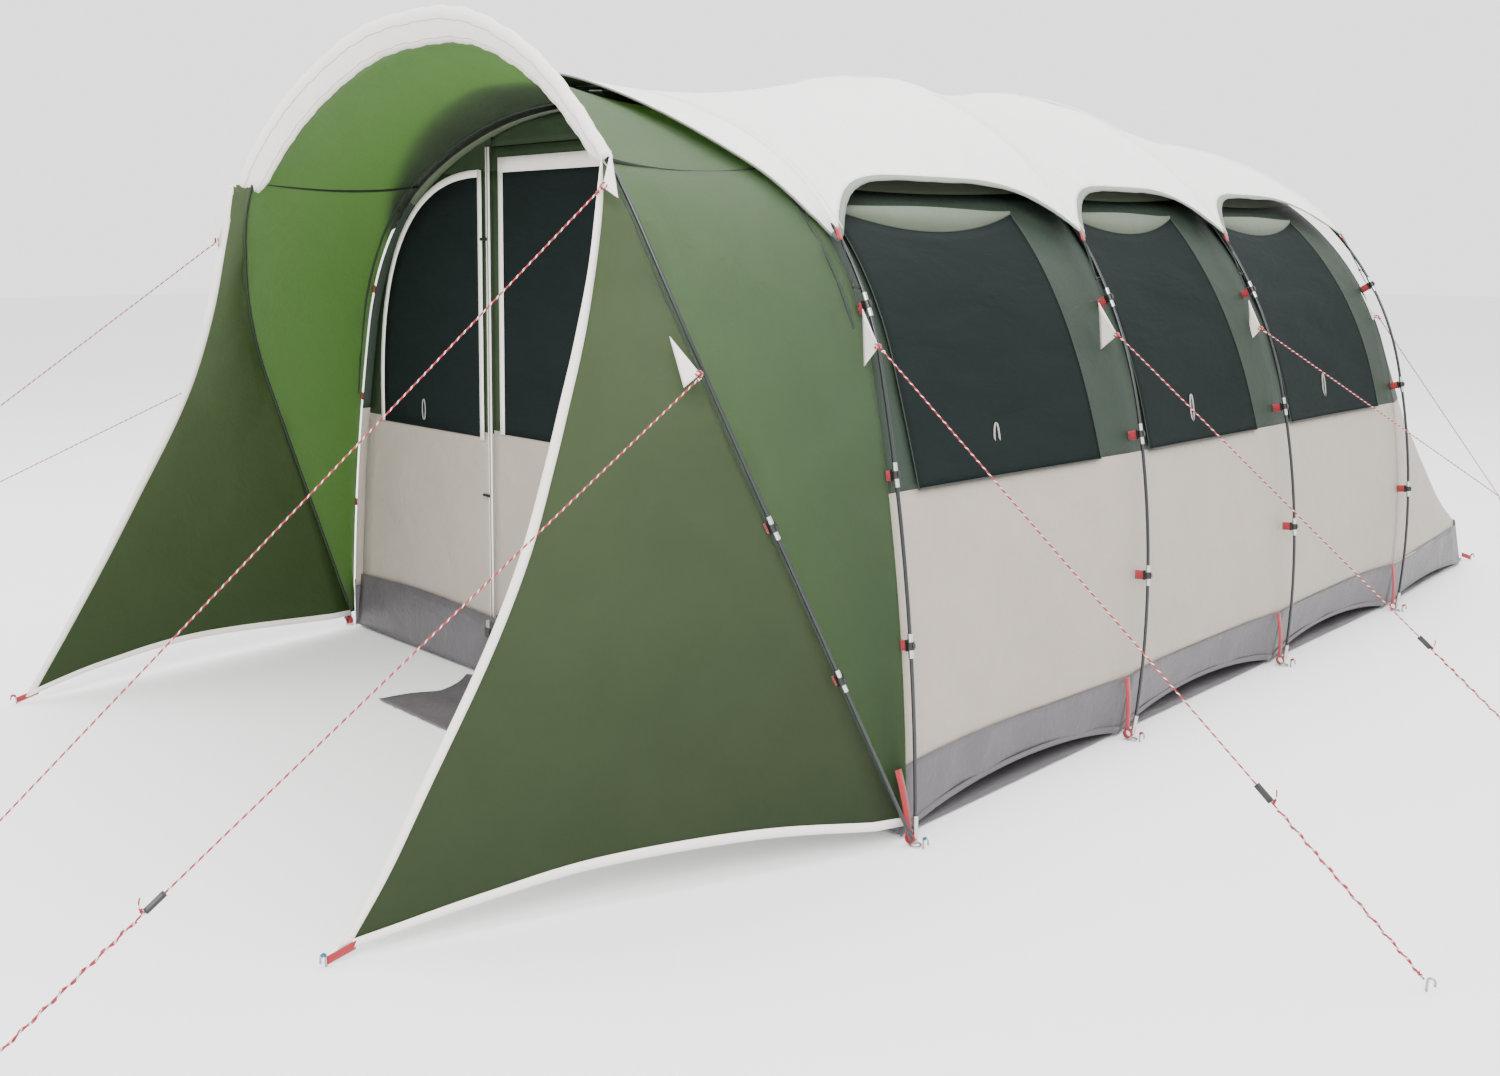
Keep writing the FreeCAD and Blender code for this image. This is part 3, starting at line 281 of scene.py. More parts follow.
def hoopLine(index, offset=0.0, steps=48):
    # points of one hoop from the right foot over the crown to the left foot
    shape = hoopShapes[index]
    foot, height, legRadius = tent["footHalfWidth"], shape["height"], shape["legRadius"]
    first = math.radians(shape["heel"])
    knee = first - math.radians(shape["legTurn"])
    brow = knee - math.radians(shape["shoulderTurn"])
    kneeX = foot + legRadius * (math.cos(knee) - math.cos(first))
    kneeZ = legRadius * (math.sin(first) - math.sin(knee))
    system = np.array([[math.cos(brow) - math.cos(knee), -math.cos(brow)],
                       [math.sin(knee) - math.sin(brow), 1 + math.sin(brow)]])
    shoulder, crown = np.linalg.solve(system, [-kneeX, height - kneeZ])
    arcs = [
        (first, knee, legRadius, foot - legRadius * math.cos(first), legRadius * math.sin(first)),
        (knee, brow, shoulder, kneeX - shoulder * math.cos(knee), kneeZ + shoulder * math.sin(knee)),
        (brow, -math.pi / 2, crown, 0.0, height - crown),
    ]
    half = []
    for number, (start, end, radius, centreX, centreZ) in enumerate(arcs):
        for turn in np.linspace(start, end, steps, endpoint=number == 2):
            reach = radius + offset
            half.append((centreX + reach * math.cos(turn), centreZ - reach * math.sin(turn)))
    half = np.array(half)
    tilt = math.radians(shape["lean"])
    station = yShift + index * tent["hoopSpacing"]
    right = np.c_[half[:, 0], station + half[:, 1] * math.sin(tilt), half[:, 1] * math.cos(tilt)]
    return np.r_[right, (right * [-1, 1, 1])[::-1][1:]]


# corners of the porch pole on the right, from the foot up; the pole bends round each of them
porchPole = {
    "corners": ((1.45, 0, 0.02), (1.17, -0.47, 1.25), (0.962, -0.540, 1.695), (0.645, -0.497, 1.952),
                (0.25, -0.458, 2.112)),
    "rim": 0.030,  # how far the canopy and the wings stay inside the pole
    "bandLow": 1.690,  # where the pale band over the pole starts
}


def porchLine(inset=0.0, steps=14):
    # the porch pole's line from the right foot to the left foot; inset moves it inward
    half = np.array(porchPole["corners"])
    middle = walls["split"] / 2
    away = np.c_[half[:, 0], np.zeros(len(half)), half[:, 2] - middle]
    away /= np.linalg.norm(away, axis=1)[:, None]
    half = half - away * inset
    knots = np.r_[half, (half * [-1, 1, 1])[::-1]]
    knots[:, 1] += yShift
    line = [knots[0]]
    for before, corner, after in zip(knots, knots[1:], knots[2:]):
        reach = 0.45 * min(np.linalg.norm(corner - before), np.linalg.norm(after - corner))
        begin = corner + (before - corner) / np.linalg.norm(before - corner) * reach
        finish = corner + (after - corner) / np.linalg.norm(after - corner) * reach
        for share in np.linspace(0, 1, steps):
            rest = 1 - share
            line.append(rest ** 2 * begin + 2 * share * rest * corner + share ** 2 * finish)
    line.append(knots[-1])
    return np.array(line)


def evenly(line, count):
    steps = np.linalg.norm(np.diff(line, axis=0), axis=1)
    length = np.r_[0, np.cumsum(steps)]
    wanted = np.linspace(0, length[-1], count)
    return np.stack([np.interp(wanted, length, line[:, axis]) for axis in range(3)], axis=1)


def above(line, height):
    # the part of an arch that lies above a height, cut exactly there on both legs
    half = len(line) // 2
    right = line[:half + 1]
    start = np.array([np.interp(height, right[:, 2], right[:, axis]) for axis in range(3)])
    kept = right[right[:, 2] > height + 1e-6]
    right = np.r_[[start], kept]
    return np.r_[right, (right * [-1, 1, 1])[::-1][1:]]


def legAt(line, heights, side=1):
    # points at given heights on the right leg of an arch, or mirrored to the left
    half = len(line) // 2
    leg = line[:half + 1]
    spots = np.stack([np.interp(heights, leg[:, 2], leg[:, axis]) for axis in range(3)], axis=1)
    return spots * [side, 1, 1]


def inwardOf(row, height):
    # unit directions from a row's points towards the middle of the tent at a height
    inward = np.array([0, 0, height]) - row
    inward[:, 1] = 0
    return inward / np.linalg.norm(inward, axis=1)[:, None]


def porchRim(count, low):
    # where the canopy ends: just inside the pole on the legs, at the pale band over the crown
    line = evenly(above(porchLine(porchPole["rim"]), low), count)
    share = np.clip((line[:, 2] - 1.66) / 0.12, 0, 1)
    share = share * share * (3 - 2 * share)
    line += inwardOf(line, 0.9) * (0.046 * share)[:, None]
    line[:, 1] += 0.025 * share
    return line


def canopyRow(share, count, low=0.06):
    # a row of the canopy from the front hoop, share 0, to the porch pole, share 1
    hoop = evenly(above(hoopLine(0, -porchPole["rim"]), low), count)
    row = hoop + (porchRim(count, low) - hoop) * share
    return row + inwardOf(row, 0.6) * 0.022 * 4 * share * (1 - share)


def normalsOf(grid):
    du = np.gradient(grid, axis=0)
    dv = np.gradient(grid, axis=1)
    normal = np.cross(du, dv)
    return normal / np.maximum(np.linalg.norm(normal, axis=2), 1e-9)[:, :, None]


def ripple(grid, depth, size, seed=0.0, stretch=(1, 1, 1)):
    # moves a grid along its normals by soft noise, none at its rim
    normal = normalsOf(grid)
    rows, columns = grid.shape[:2]
    result = grid.copy()
    for i in range(rows):
        rimI = min(1.0, 6 * min(i, rows - 1 - i) / max(rows - 1, 1))
        for j in range(columns):
            rim = rimI * min(1.0, 6 * min(j, columns - 1 - j) / max(columns - 1, 1))
            spot = Vector(grid[i, j] * stretch) / size + Vector((seed, seed * 1.7, 0))
            result[i, j] += normal[i, j] * depth * rim * noise.noise(spot)
    return result


def puckers(grid, depth, count, reach, edge="column"):
    # small gathers running in from the first row or column of a grid and fading out
    normal = normalsOf(grid)
    rows, columns = grid.shape[:2]
    result = grid.copy()
    for i in range(rows):
        for j in range(columns):
            away, around = (j / columns, i / rows) if edge == "column" else (i / rows, j / columns)
            fade = math.exp(-away / reach) * min(1.0, away / reach * 3)
            wave = noise.noise(Vector((around * count, away * 2.0, 3.7)))
            wave += 0.5 * noise.noise(Vector((around * count * 2.3, 1.0, 8.1)))
            result[i, j] += normal[i, j] * depth * fade * wave
    return result


def meshFrom(name, grids, material, thickness=0.0014, under=None, body="tent"):
    # one smooth cloth object from one or more grids of points
    verts = []
    faces = []
    for grid in grids:
        base = len(verts)
        rows, columns = grid.shape[:2]
        verts += [tuple(p) for p in grid.reshape(-1, 3)]
        for i in range(rows - 1):
            for j in range(columns - 1):
                a = base + i * columns + j
                faces.append((a, a + columns, a + columns + 1, a + 1))
    mesh = bpy.data.meshes.new(name)
    mesh.from_pydata(verts, [], faces)
    mesh.validate()
    for polygon in mesh.polygons:
        polygon.use_smooth = True
    item = bpy.data.objects.new(name, mesh)
    bpy.context.scene.collection.objects.link(item)
    mesh.materials.append(material)
    if under:
        mesh.materials.append(under)
    solid = item.modifiers.new("thickness", "SOLIDIFY")
    solid.thickness = thickness
    solid.offset = 0
    if under:
        solid.material_offset = 1
        solid.material_offset_rim = 0
    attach(item, body)
    return item


def ribbonGrid(line, across, width):
    # a band of a width along a line; across is one direction or one for each point
    line = np.asarray(line, float)
    across = np.broadcast_to(np.asarray(across, float), line.shape)
    across = across / np.linalg.norm(across, axis=1)[:, None]
    return np.stack([line - across * width / 2, line, line + across * width / 2], axis=1)


def tubeMesh(name, lines, radius, material, sides=10, body="tent"):
    # one object of round tubes along several lines
    verts, faces = [], []
    for line in lines:
        line = np.asarray(line, float)
        tangent = np.gradient(line, axis=0)
        tangent /= np.linalg.norm(tangent, axis=1)[:, None]
        side = np.cross(tangent[0], (0.31, 0.22, 0.92))
        side /= np.linalg.norm(side)
        base = len(verts)
        for spot, way in zip(line, tangent):
            side = side - way * np.dot(side, way)
            side /= np.linalg.norm(side)
            other = np.cross(way, side)
            for k in range(sides):
                turn = 2 * math.pi * k / sides
                verts.append(tuple(spot + radius * (math.cos(turn) * side + math.sin(turn) * other)))
        for i in range(len(line) - 1):
            for k in range(sides):
                a, b = base + i * sides + k, base + i * sides + (k + 1) % sides
                faces.append((a, b, b + sides, a + sides))
        end = base + (len(line) - 1) * sides
        faces.append(tuple(base + k for k in reversed(range(sides))))
        faces.append(tuple(end + k for k in range(sides)))
    mesh = bpy.data.meshes.new(name)
    mesh.from_pydata(verts, [], faces)
    for polygon in mesh.polygons:
        polygon.use_smooth = len(polygon.vertices) == 4
    item = bpy.data.objects.new(name, mesh)
    bpy.context.scene.collection.objects.link(item)
    mesh.materials.append(material)
    if body:
        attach(item, body)
    return item


def paint(names, material):
    for name in names:
        data = nodes[name].data
        data.materials.clear()
        data.materials.append(material)


stage = {
    "eye": (3.426, -2.551, 1.499),  # from the front hoop's feet, at a standing person's eye height
    "lens": 32.36,
    "downTilt": 12.257,
    "turn": 45.275,
    "worldStrength": 2.1,
    "floorReach": 40,
    "floorTone": 0.90,
    "lights": (  # name, place, aim, width, power
        ("key", (5.5, -7.0, 6.5), (0, 0, 0.8), 5.0, 900),
        ("fill", (-6.0, -6.5, 4.5), (0, 0, 0.8), 6.0, 300),
        ("top", (0.5, 1.0, 8.0), (0, 0, 0), 7.0, 800),
    ),
}


def setStage():
    scene = bpy.context.scene
    camera = bpy.data.objects.new("camera", bpy.data.cameras.new("camera"))
    scene.collection.objects.link(camera)
    camera.data.lens = stage["lens"]
    camera.data.sensor_width = 36
    camera.data.clip_end = 80
    camera.location = Vector(stage["eye"]) + Vector((0, yShift, 0))
    camera.rotation_euler = (math.radians(90 - stage["downTilt"]), 0, math.radians(stage["turn"]))
    scene.camera = camera
    world = bpy.data.worlds.new("world")
    scene.world = world
    world.use_nodes = True
    back = world.node_tree.nodes["Background"]
    back.inputs["Color"].default_value = (1, 1, 1, 1)
    back.inputs["Strength"].default_value = stage["worldStrength"]
    floorMesh = bpy.data.meshes.new("floor")
    reach = stage["floorReach"]
    corners = [(-reach, -reach, 0), (reach, -reach, 0), (reach, reach, 0), (-reach, reach, 0)]
    floorMesh.from_pydata(corners, [], [(0, 1, 2, 3)])
    floor = bpy.data.objects.new("floor", floorMesh)
    floor.location.z = -0.001
    scene.collection.objects.link(floor)
    floorMesh.materials.append(plainMaterial("floor", (stage["floorTone"],) * 3, 0.8))
    for name, spot, aim, size, power in stage["lights"]:
        light = bpy.data.objects.new(name, bpy.data.lights.new(name, "AREA"))
        light.data.size = size
        light.data.energy = power
        light.location = spot
        way = Vector(aim) - Vector(spot)
        light.rotation_euler = way.to_track_quat("-Z", "Y").to_euler()
        scene.collection.objects.link(light)


setStage()
print("stage: camera and light")


fine = 1.0  # how closely the cloth is divided
columnsPerBay = max(8, int(26 * fine))


def stations(last):
    # shares of a bay's length where a row stands, the far hoop included in the last bay
    shares = np.linspace(0, 1, columnsPerBay, endpoint=False).tolist()
    return shares + [1.0] if last else shares


def bayGrid(offset, sag, rowMaker):
    # rows across the tent at even stations along it, pulled in between the hoops
    rows = []
    for bay in range(3):
        front = rowMaker(hoopLine(bay, offset), bay)
        back = rowMaker(hoopLine(bay + 1, offset), bay + 1)
        last = bay == 2
        for share in stations(last):
            row = front + (back - front) * share
            rows.append(row + inwardOf(row, 0.6) * 4 * share * (1 - share) * sag)
    return np.array(rows)


def splitHeight(bay):
    # height of the seam between the green and the beige cloth; it falls a little to the rear
    return walls["split"] - walls["splitFall"] * bay


def wallGrid(side, low, high, count):
    def row(line, bay):
        ends = [splitHeight(bay) + 0.002 if end is None else end for end in (low, high)]
        return legAt(line, np.linspace(*ends, count), side)
    return bayGrid(-tent["cloth"], walls["sag"], row)


def buildWalls():
    for side, name in ((1, "right"), (-1, "left")):
        upper = wallGrid(side, None, walls["high"], int(24 * fine) + 4)
        upper = ripple(upper, 0.008, 0.22, 3.1 + side)
        item = meshFrom(f"upper-wall-{name}", [upper], cloth["green"])
        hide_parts(f"upper_wall_{name}")
        lower = wallGrid(side, walls["low"], None, int(22 * fine) + 4)
        lower = ripple(lower, 0.014, 0.24, 8.3 + side, (1, 1, 0.45))
        item = meshFrom(f"lower-wall-{name}", [lower], cloth["beige"])
        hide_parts(f"lower_wall_{name}")
        buildSideWindows(side, name)
        buildSkirt(side, name)


def wallPoint(side, bay, share, height, offset):
    # a point of the wall, which hangs in a little between its two hoops
    front = legAt(hoopLine(bay, offset), [height], side)[0]
    back = legAt(hoopLine(bay + 1, offset), [height], side)[0]
    row = front + (back - front) * share
    inward = np.array([-row[0], 0, 0.6 - row[2]])
    inward /= np.linalg.norm(inward)
    return row + inward * 4 * share * (1 - share) * walls["sag"]


sideWindows = {
    "inset": 0.0345,
    "top": 1.600,
    "topDip": 0.050,  # the top edge hangs this much between its corners
    "near": (0.118, 0.045),  # share of the bay at the foot, and how much it leans towards the front
    "far": (0.862, 0.052),
    "sideBow": 0.012,
    "hoodRise": 0.060,
    "hoodReach": 0.030,
}


def outlineOf(grid):
    # the rim of a grid, once round
    return np.r_[grid[:, 0], grid[-1, 1:], grid[::-1, -1][1:], grid[0, ::-1][1:]]


def buildSideWindows(side, name):
    # dark panes under the fly, square at the top corners, each with a seam round it
    panes, rims, hoods = [], [], []
    look = sideWindows
    across, up = int(22 * fine) + 6, int(18 * fine) + 6
    for bay in range(3):
        grid = []
        for p in np.linspace(0, 1, across):
            low = splitHeight(bay + p) + 0.003
            top = look["top"] - look["topDip"] * (1 - (2 * p - 1) ** 2)
            column = []
            for q in np.linspace(0, 1, up):
                bow = look["sideBow"] * math.sin(math.pi * q)
                left = look["near"][0] - look["near"][1] * q - bow
                right = look["far"][0] - look["far"][1] * q - bow
                share = left + (right - left) * p
                column.append(wallPoint(side, bay, share, low + (top - low) * q, -look["inset"]))
            grid.append(column)
        grid = ripple(np.array(grid), 0.005, 0.13, 5.0 + bay + side, (1, 0.6, 1.4))
        panes.append(grid)
        rims.append(outlineOf(grid) + [side * 0.0010, 0, 0])
        edge = grid[:, -1] + [side * 0.0012, 0, 0.001]
        rise = np.array([-side * look["hoodReach"], 0, look["hoodRise"]])
        steps = np.sin(np.linspace(0, math.pi, across))[:, None] * rise + [-side * 0.002, 0, 0.008]
        hoods.append(np.stack([edge, edge + steps * 0.5, edge + steps], axis=1))
    item = meshFrom(f"side-windows-{name}", panes, cloth["window"])
    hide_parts(f"side_windows_{name}")
    seam = tubeMesh(f"window-seams-{name}", rims, 0.0018, cloth["seam"], 6)
    strip = meshFrom(f"window-hoods-{name}", hoods, cloth["hood"], 0.0012)


skirts = {
    "top": 0.195,
    "ground": 0.012,  # the hem's height at the feet
    "lift": 0.052,  # and how much more it rises between them
    "inset": 0.0375,
    "bow": 0.02,
}


def buildSkirt(side, name):
    # grey tub wall whose lower edge lifts between the feet, with a darker hem
    grids, hems = [], []
    for bay in range(3):
        rows, hem = [], []
        for share in np.linspace(0, 1, columnsPerBay + 1):
            swell = 4 * share * (1 - share)
            height = skirts["top"] + 0.004 * math.sin(7 * share + bay)
            top = wallPoint(side, bay, share, height, -skirts["inset"])
            near, far = (legAt(hoopLine(bay + end, -0.05), [0.0], side)[0] for end in (0, 1))
            bottom = near * (1 - share) + far * share
            bottom[0] -= side * skirts["bow"] * swell
            bottom[2] = skirts["ground"] + skirts["lift"] * swell ** 0.8
            rows.append([bottom + (top - bottom) * q for q in np.linspace(0, 1, 9)])
            proud = bottom + [side * 0.002, 0, 0]  # the hem lies on the outside of the skirt
            hem.append([proud + (top - bottom) * q for q in np.linspace(-0.03, 0.10, 3)])
        grids.append(ripple(np.array(rows), 0.010, 0.12, 11.0 + bay))
        hems.append(np.array(hem))
    item = meshFrom(f"tub-skirt-{name}", grids, cloth["grey"])
    hemItem = meshFrom(f"tub-hem-{name}", hems, cloth["greyDark"])


roof = {
    "clearance": 0.0105,  # the cloth's height over the line of the poles
    "tip": 1.538,  # height of the corners at the hoops
    "scallop": 0.158,  # rise of the side edge between them
    "sag": 0.030,
    "frontShare": 0.47,  # how far the front edge reaches over the canopy at its middle
    "rearReach": 0.10,
    "puckerDepth": 0.012,
    "liningLow": 1.64,
}


def roofEdge(share):
    return roof["tip"] + roof["scallop"] * (1 - (2 * share - 1) ** 4)


def roofRow(front, back, share, count, edge):
    first, second = evenly(above(front, edge), count), evenly(above(back, edge), count)
    return first + (second - first) * share


def buildRoof():
    # pale fly: creased over the hoops, dipped between them, with a scalloped side edge
    count = int(70 * fine) + 21
    over, tip = roof["clearance"], roof["tip"]
    along = np.abs(np.linspace(-1, 1, count))
    rows = []
    for bay in range(3):
        front, back = hoopLine(bay, over), hoopLine(bay + 1, over)
        for share in stations(bay == 2):
            row = roofRow(front, back, share, count, roofEdge(share))
            sag = roof["sag"] * (4 * share * (1 - share)) ** 0.75
            rows.append(row + inwardOf(row, 0.5) * (sag * (1 - 0.6 * along ** 6))[:, None])
    frontEdge = evenly(above(hoopLine(0, over), tip), count)
    base, rim = canopyRow(0, 401), canopyRow(1, 401)
    nearest = [int(np.argmin(np.linalg.norm(base - spot, axis=1))) for spot in frontEdge]
    outward = frontEdge - base[nearest]
    outward /= np.linalg.norm(outward, axis=1)[:, None]
    for step in (1, 2, 3, 4):  # the front rows lie down on the canopy
        share = roof["frontShare"] * (1 - along ** 1.7) * step / 4
        lift = over + 0.030 * (1 - step / 4)
        rows.insert(0, base[nearest] + (rim - base)[nearest] * share[:, None] + outward * lift)
    rearEdge = evenly(above(hoopLine(3, over), tip), count)
    for step in (1, 2, 3):
        reach = roof["rearReach"] * (1 - along ** 2.2) * step / 3
        row = rearEdge.copy()
        row[:, 1] += reach
        row[:, 2] -= reach * 0.35
        rows.append(row)
    grid = ripple(np.array(rows), 0.011, 0.26, 1.3, (1, 0.6, 1))
    grid = puckers(grid, roof["puckerDepth"], 46, 0.10)
    grid = puckers(grid[:, ::-1], roof["puckerDepth"], 46, 0.10)[:, ::-1]
    item = meshFrom("roof-fly", [grid], cloth["roof"], 0.0014, cloth["olive"])
    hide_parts("roof_fly")
    bands = []
    for column, nextOne in ((0, 1), (-1, -2)):
        edge = grid[:, column]
        way = grid[:, column] - grid[:, nextOne]
        way /= np.linalg.norm(way, axis=1)[:, None]
        out = np.c_[np.sign(edge[:, 0]), np.zeros(len(edge)), np.zeros(len(edge))] * 0.0016
        bands.append(np.stack([edge + way * reach + out for reach in (-0.006, 0.008, 0.020)], axis=1))
    band = meshFrom("roof-binding", bands, cloth["edge"], 0.002)
    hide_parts("roof_binding")
    frontSeam = tubeMesh("roof-front-seam", [grid[0] + [0, 0, 0.001], grid[-1]], 0.0035, cloth["edge"], 6)
    ridges = []
    for index in range(4):
        line = evenly(above(hoopLine(index, over + 0.002), tip + 0.002), count)
        for shift in (-0.012, 0.012):
            ridges.append(line + [0, shift, 0.0002])
    stitched = tubeMesh("roof-hoop-seams", ridges, 0.0012, cloth["roof"], 5)
    inner = bayGrid(-tent["cloth"], 0.025, lambda line, bay: evenly(above(line, roof["liningLow"]), 41))
    lining = meshFrom("inner-roof", [inner], cloth["olive"])
    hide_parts("inner_roof")


rear = {
    "halfWidth": 1.335,
    "hoopHeight": 1.95,
    "slope": 0.55,  # how much of the straight slope its corners follow
    "top": 0.19,  # height of the skirt
    "hollow": (0.05, 0.03),  # the cloth hangs in and down by this at its middle
    "windowAcross": (0.43, 0.57),
    "windowDown": (0.16, 0.42),
    "steps": 800,
}


def rearRail(height, count):
    # points of the rear wall at one height, corner to corner round the back
    back = rearPlace + tent["rearReach"] + yShift
    half = rear["halfWidth"]
    slope = tent["rearReach"] / rear["hoopHeight"] * height * rear["slope"]
    right = [(half - 0.012 * k, back - 0.15 + 0.037 * k - slope, height) for k in range(5)]
    right += [((half - 0.048) * (1 - k / 3), back - slope, height) for k in range(1, 4)]
    right = np.array(right)
    return evenly(np.r_[right, (right * [-1, 1, 1])[::-1][1:]], count)


def rearColumn(along, steps=60):
    # one line of the rear wall, from the hoop at a share of its length down to the skirt
    turned = float(np.interp(along, [0, 0.17, 0.83, 1], [0, 0.065, 0.935, 1]))
    top = rearHoop[round(along * rear["steps"])] + [0, 0.004, 0]
    low = rearFoot[round(turned * rear["steps"])]
    share = np.linspace(0, 1, steps)
    line = top + (low - top) * share[:, None]
    hollow = np.sin(math.pi * share) * np.clip(min(along, 1 - along) / 0.25, 0.15, 1)
    line[:, 1] -= rear["hollow"][0] * hollow
    line[:, 2] -= rear["hollow"][1] * hollow
    return line


def splitShare(line, split):
    # the share of a rear line's length where it passes the seam between the colours
    return float(np.interp(-split, -line[:, 2], np.linspace(0, 1, len(line))))


def cutLine(line, first, last, count):
    # evenly spread points of a line between two shares of its length
    places = np.linspace(0, 1, len(line))
    wanted = np.linspace(first, last, count)
    return np.stack([np.interp(wanted, places, line[:, axis]) for axis in range(3)], axis=1)


rearHoop = evenly(above(hoopLine(3, -tent["cloth"]), rear["top"]), rear["steps"] + 1)
rearFoot = rearRail(rear["top"], rear["steps"] + 1)


def buildRear():
    # sloping rear wall in two bands of colour, its flat sides running down to the corners
    count = int(60 * fine) + 21
    split = splitHeight(3)
    highest = [k / rear["steps"] for k, spot in enumerate(rearHoop) if spot[2] > split]
    green, beige = [], []
    for along in np.linspace(highest[0], highest[-1], count):
        line = rearColumn(along)
        green.append(cutLine(line, 0, splitShare(line, split), 26))
    for along in np.sort([*np.linspace(0, 1, count), highest[0], highest[-1]]):
        line = rearColumn(along)
        beige.append(cutLine(line, splitShare(line, split), 1, 24))
    for name, rows, cover in (("rear-wall-green", green, "green"), ("rear-wall-beige", beige, "beige")):
        grid = ripple(np.array(rows).transpose(1, 0, 2), 0.012, 0.25, 4.4)
        item = meshFrom(name, [grid], cloth[cover])
        if cover == "green":
            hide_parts("rear_wall")
    skirtTop = rearRail(0.205, count) + [0, 0.006, 0]
    skirtLow = rearRail(0.012, count) * [1.01, 1, 1] + [0, 0.02, 0]
    skirt = np.array([skirtLow + (skirtTop - skirtLow) * q for q in np.linspace(0, 1, 7)])
    skirt = ripple(skirt, 0.008, 0.12, 2.2)
    item = meshFrom("rear-skirt", [skirt], cloth["grey"])
    cheeks = []
    for side in (1, -1):
        foot = legAt(hoopLine(3, -0.05), [0.010], side)[0]
        head = legAt(hoopLine(3, -tent["cloth"]), [0.200], side)[0]
        column = 0 if side > 0 else -1
        low, high = skirtLow[column], skirtTop[column]
        rows = []
        for q in np.linspace(0, 1, 14):
            bottom = foot + (low - foot) * q + [0, 0, 0.035 * math.sin(math.pi * q)]
            rows.append([bottom + (head + (high - head) * q - bottom) * t for t in np.linspace(0, 1, 7)])
        cheeks.append(ripple(np.array(rows), 0.006, 0.12, 3.0 + side))
    item = meshFrom("rear-cheeks", cheeks, cloth["grey"])
    across = np.linspace(*rear["windowAcross"], 20)
    pane = np.array([cutLine(rearColumn(along), *rear["windowDown"], 18) for along in across])
    pane = ripple(pane, 0.004, 0.13, 6.6) + [0, 0.016, 0.010]
    item = meshFrom("rear-window", [pane], cloth["window"])
    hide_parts("rear_window")
    seam = tubeMesh("rear-window-seam", [outlineOf(pane)], 0.0022, cloth["seam"], 6)


def buildFloor():
    # the floor inside, sewn to the skirts all round
    rows = []
    for q in np.linspace(0, 1, 40):
        y = yShift + 0.02 + (rearPlace + tent["rearReach"] - 0.03) * q
        half = 1.392 - 0.068 * max(0.0, (q - 0.73) / 0.27)  # it narrows behind the rear hoop
        across = np.linspace(-half, half, 30)
        rows.append([(x, y, 0.007 + 0.003 * noise.noise(Vector((x * 4, y * 4, 0)))) for x in across])
    floor = np.array(rows)
    item = meshFrom("tent-floor", [floor], cloth["grey"])
    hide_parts("groundsheet_tub")


buildWalls()
buildRoof()
buildRear()
buildFloor()
print("stage: tent body")


frontWall = {
    "setBack": 0.030,  # how far the wall stands behind the line of the hoop
    "doorHalf": 0.458,
    "doorLow": 0.215,
    "doorHigh": 1.818,
    "seam": 0.868,
    "shoulder": 1.74,  # above it the wall is cut by the hoop before it reaches the door
    "crown": 1.905,
    "windowNear": 0.52,
    "windowFar": 1.185,
    "windowLow": 0.85,
    "windowHigh": 1.735,
    "trim": 0.024,
    "skirt": 0.225,
}
frontLean = math.radians(hoopShapes[0]["lean"])


def onFront(x, depth, height):
    # a point of the front wall: across, behind its face, and up along its lean
    y = depth + frontWall["setBack"]
    return np.array([x, yShift + y * math.cos(frontLean) + height * math.sin(frontLean),
                     height * math.cos(frontLean) - y * math.sin(frontLean)])


def archHalfWidth(height):
    line = hoopLine(0, -0.047)
    half = line[:len(line) // 2 + 1]
    return float(np.interp(height, half[:, 2] / math.cos(frontLean), half[:, 0]))


def frontGrid(left, right, low, high, across, up, depth=0.0):
    # a panel of the front wall, cut off at the hoop
    rows = []
    for height in np.linspace(low, high, up):
        limit = archHalfWidth(height) - 0.003
        ends = (max(left, -limit), min(right, limit))
        rows.append([onFront(x, depth, height) for x in np.linspace(*ends, across)])
    return np.array(rows)


def band(points, width, depth):
    # flat trim on the front wall along (x, height) points
    points = np.array(points, float)
    way = np.gradient(points, axis=0)
    way /= np.linalg.norm(way, axis=1)[:, None]
    side = np.c_[-way[:, 1], way[:, 0]]
    rows = []
    for spot, out in zip(points, side):
        row = [spot + out * width * q for q in (-0.5, 0, 0.5)]
        rows.append([onFront(x, depth, height) for x, height in row])
    return np.array(rows)


def straight(a, b, count=12):
    return [tuple(np.array(a) + (np.array(b) - np.array(a)) * k / (count - 1)) for k in range(count)]


def quarterOutline(side):
    # the curved edge of a front window, from its top beside the door down to the seam
    near, far = frontWall["windowNear"], frontWall["windowFar"]
    low, high = frontWall["windowLow"], frontWall["windowHigh"]
    arc = []
    for turn in np.linspace(0, math.pi / 2, 25):
        across = near + (far - near) * math.sin(turn) ** 0.86
        arc.append((side * across, low + (high - low) * max(0.0, math.cos(turn)) ** 0.72))
    return arc


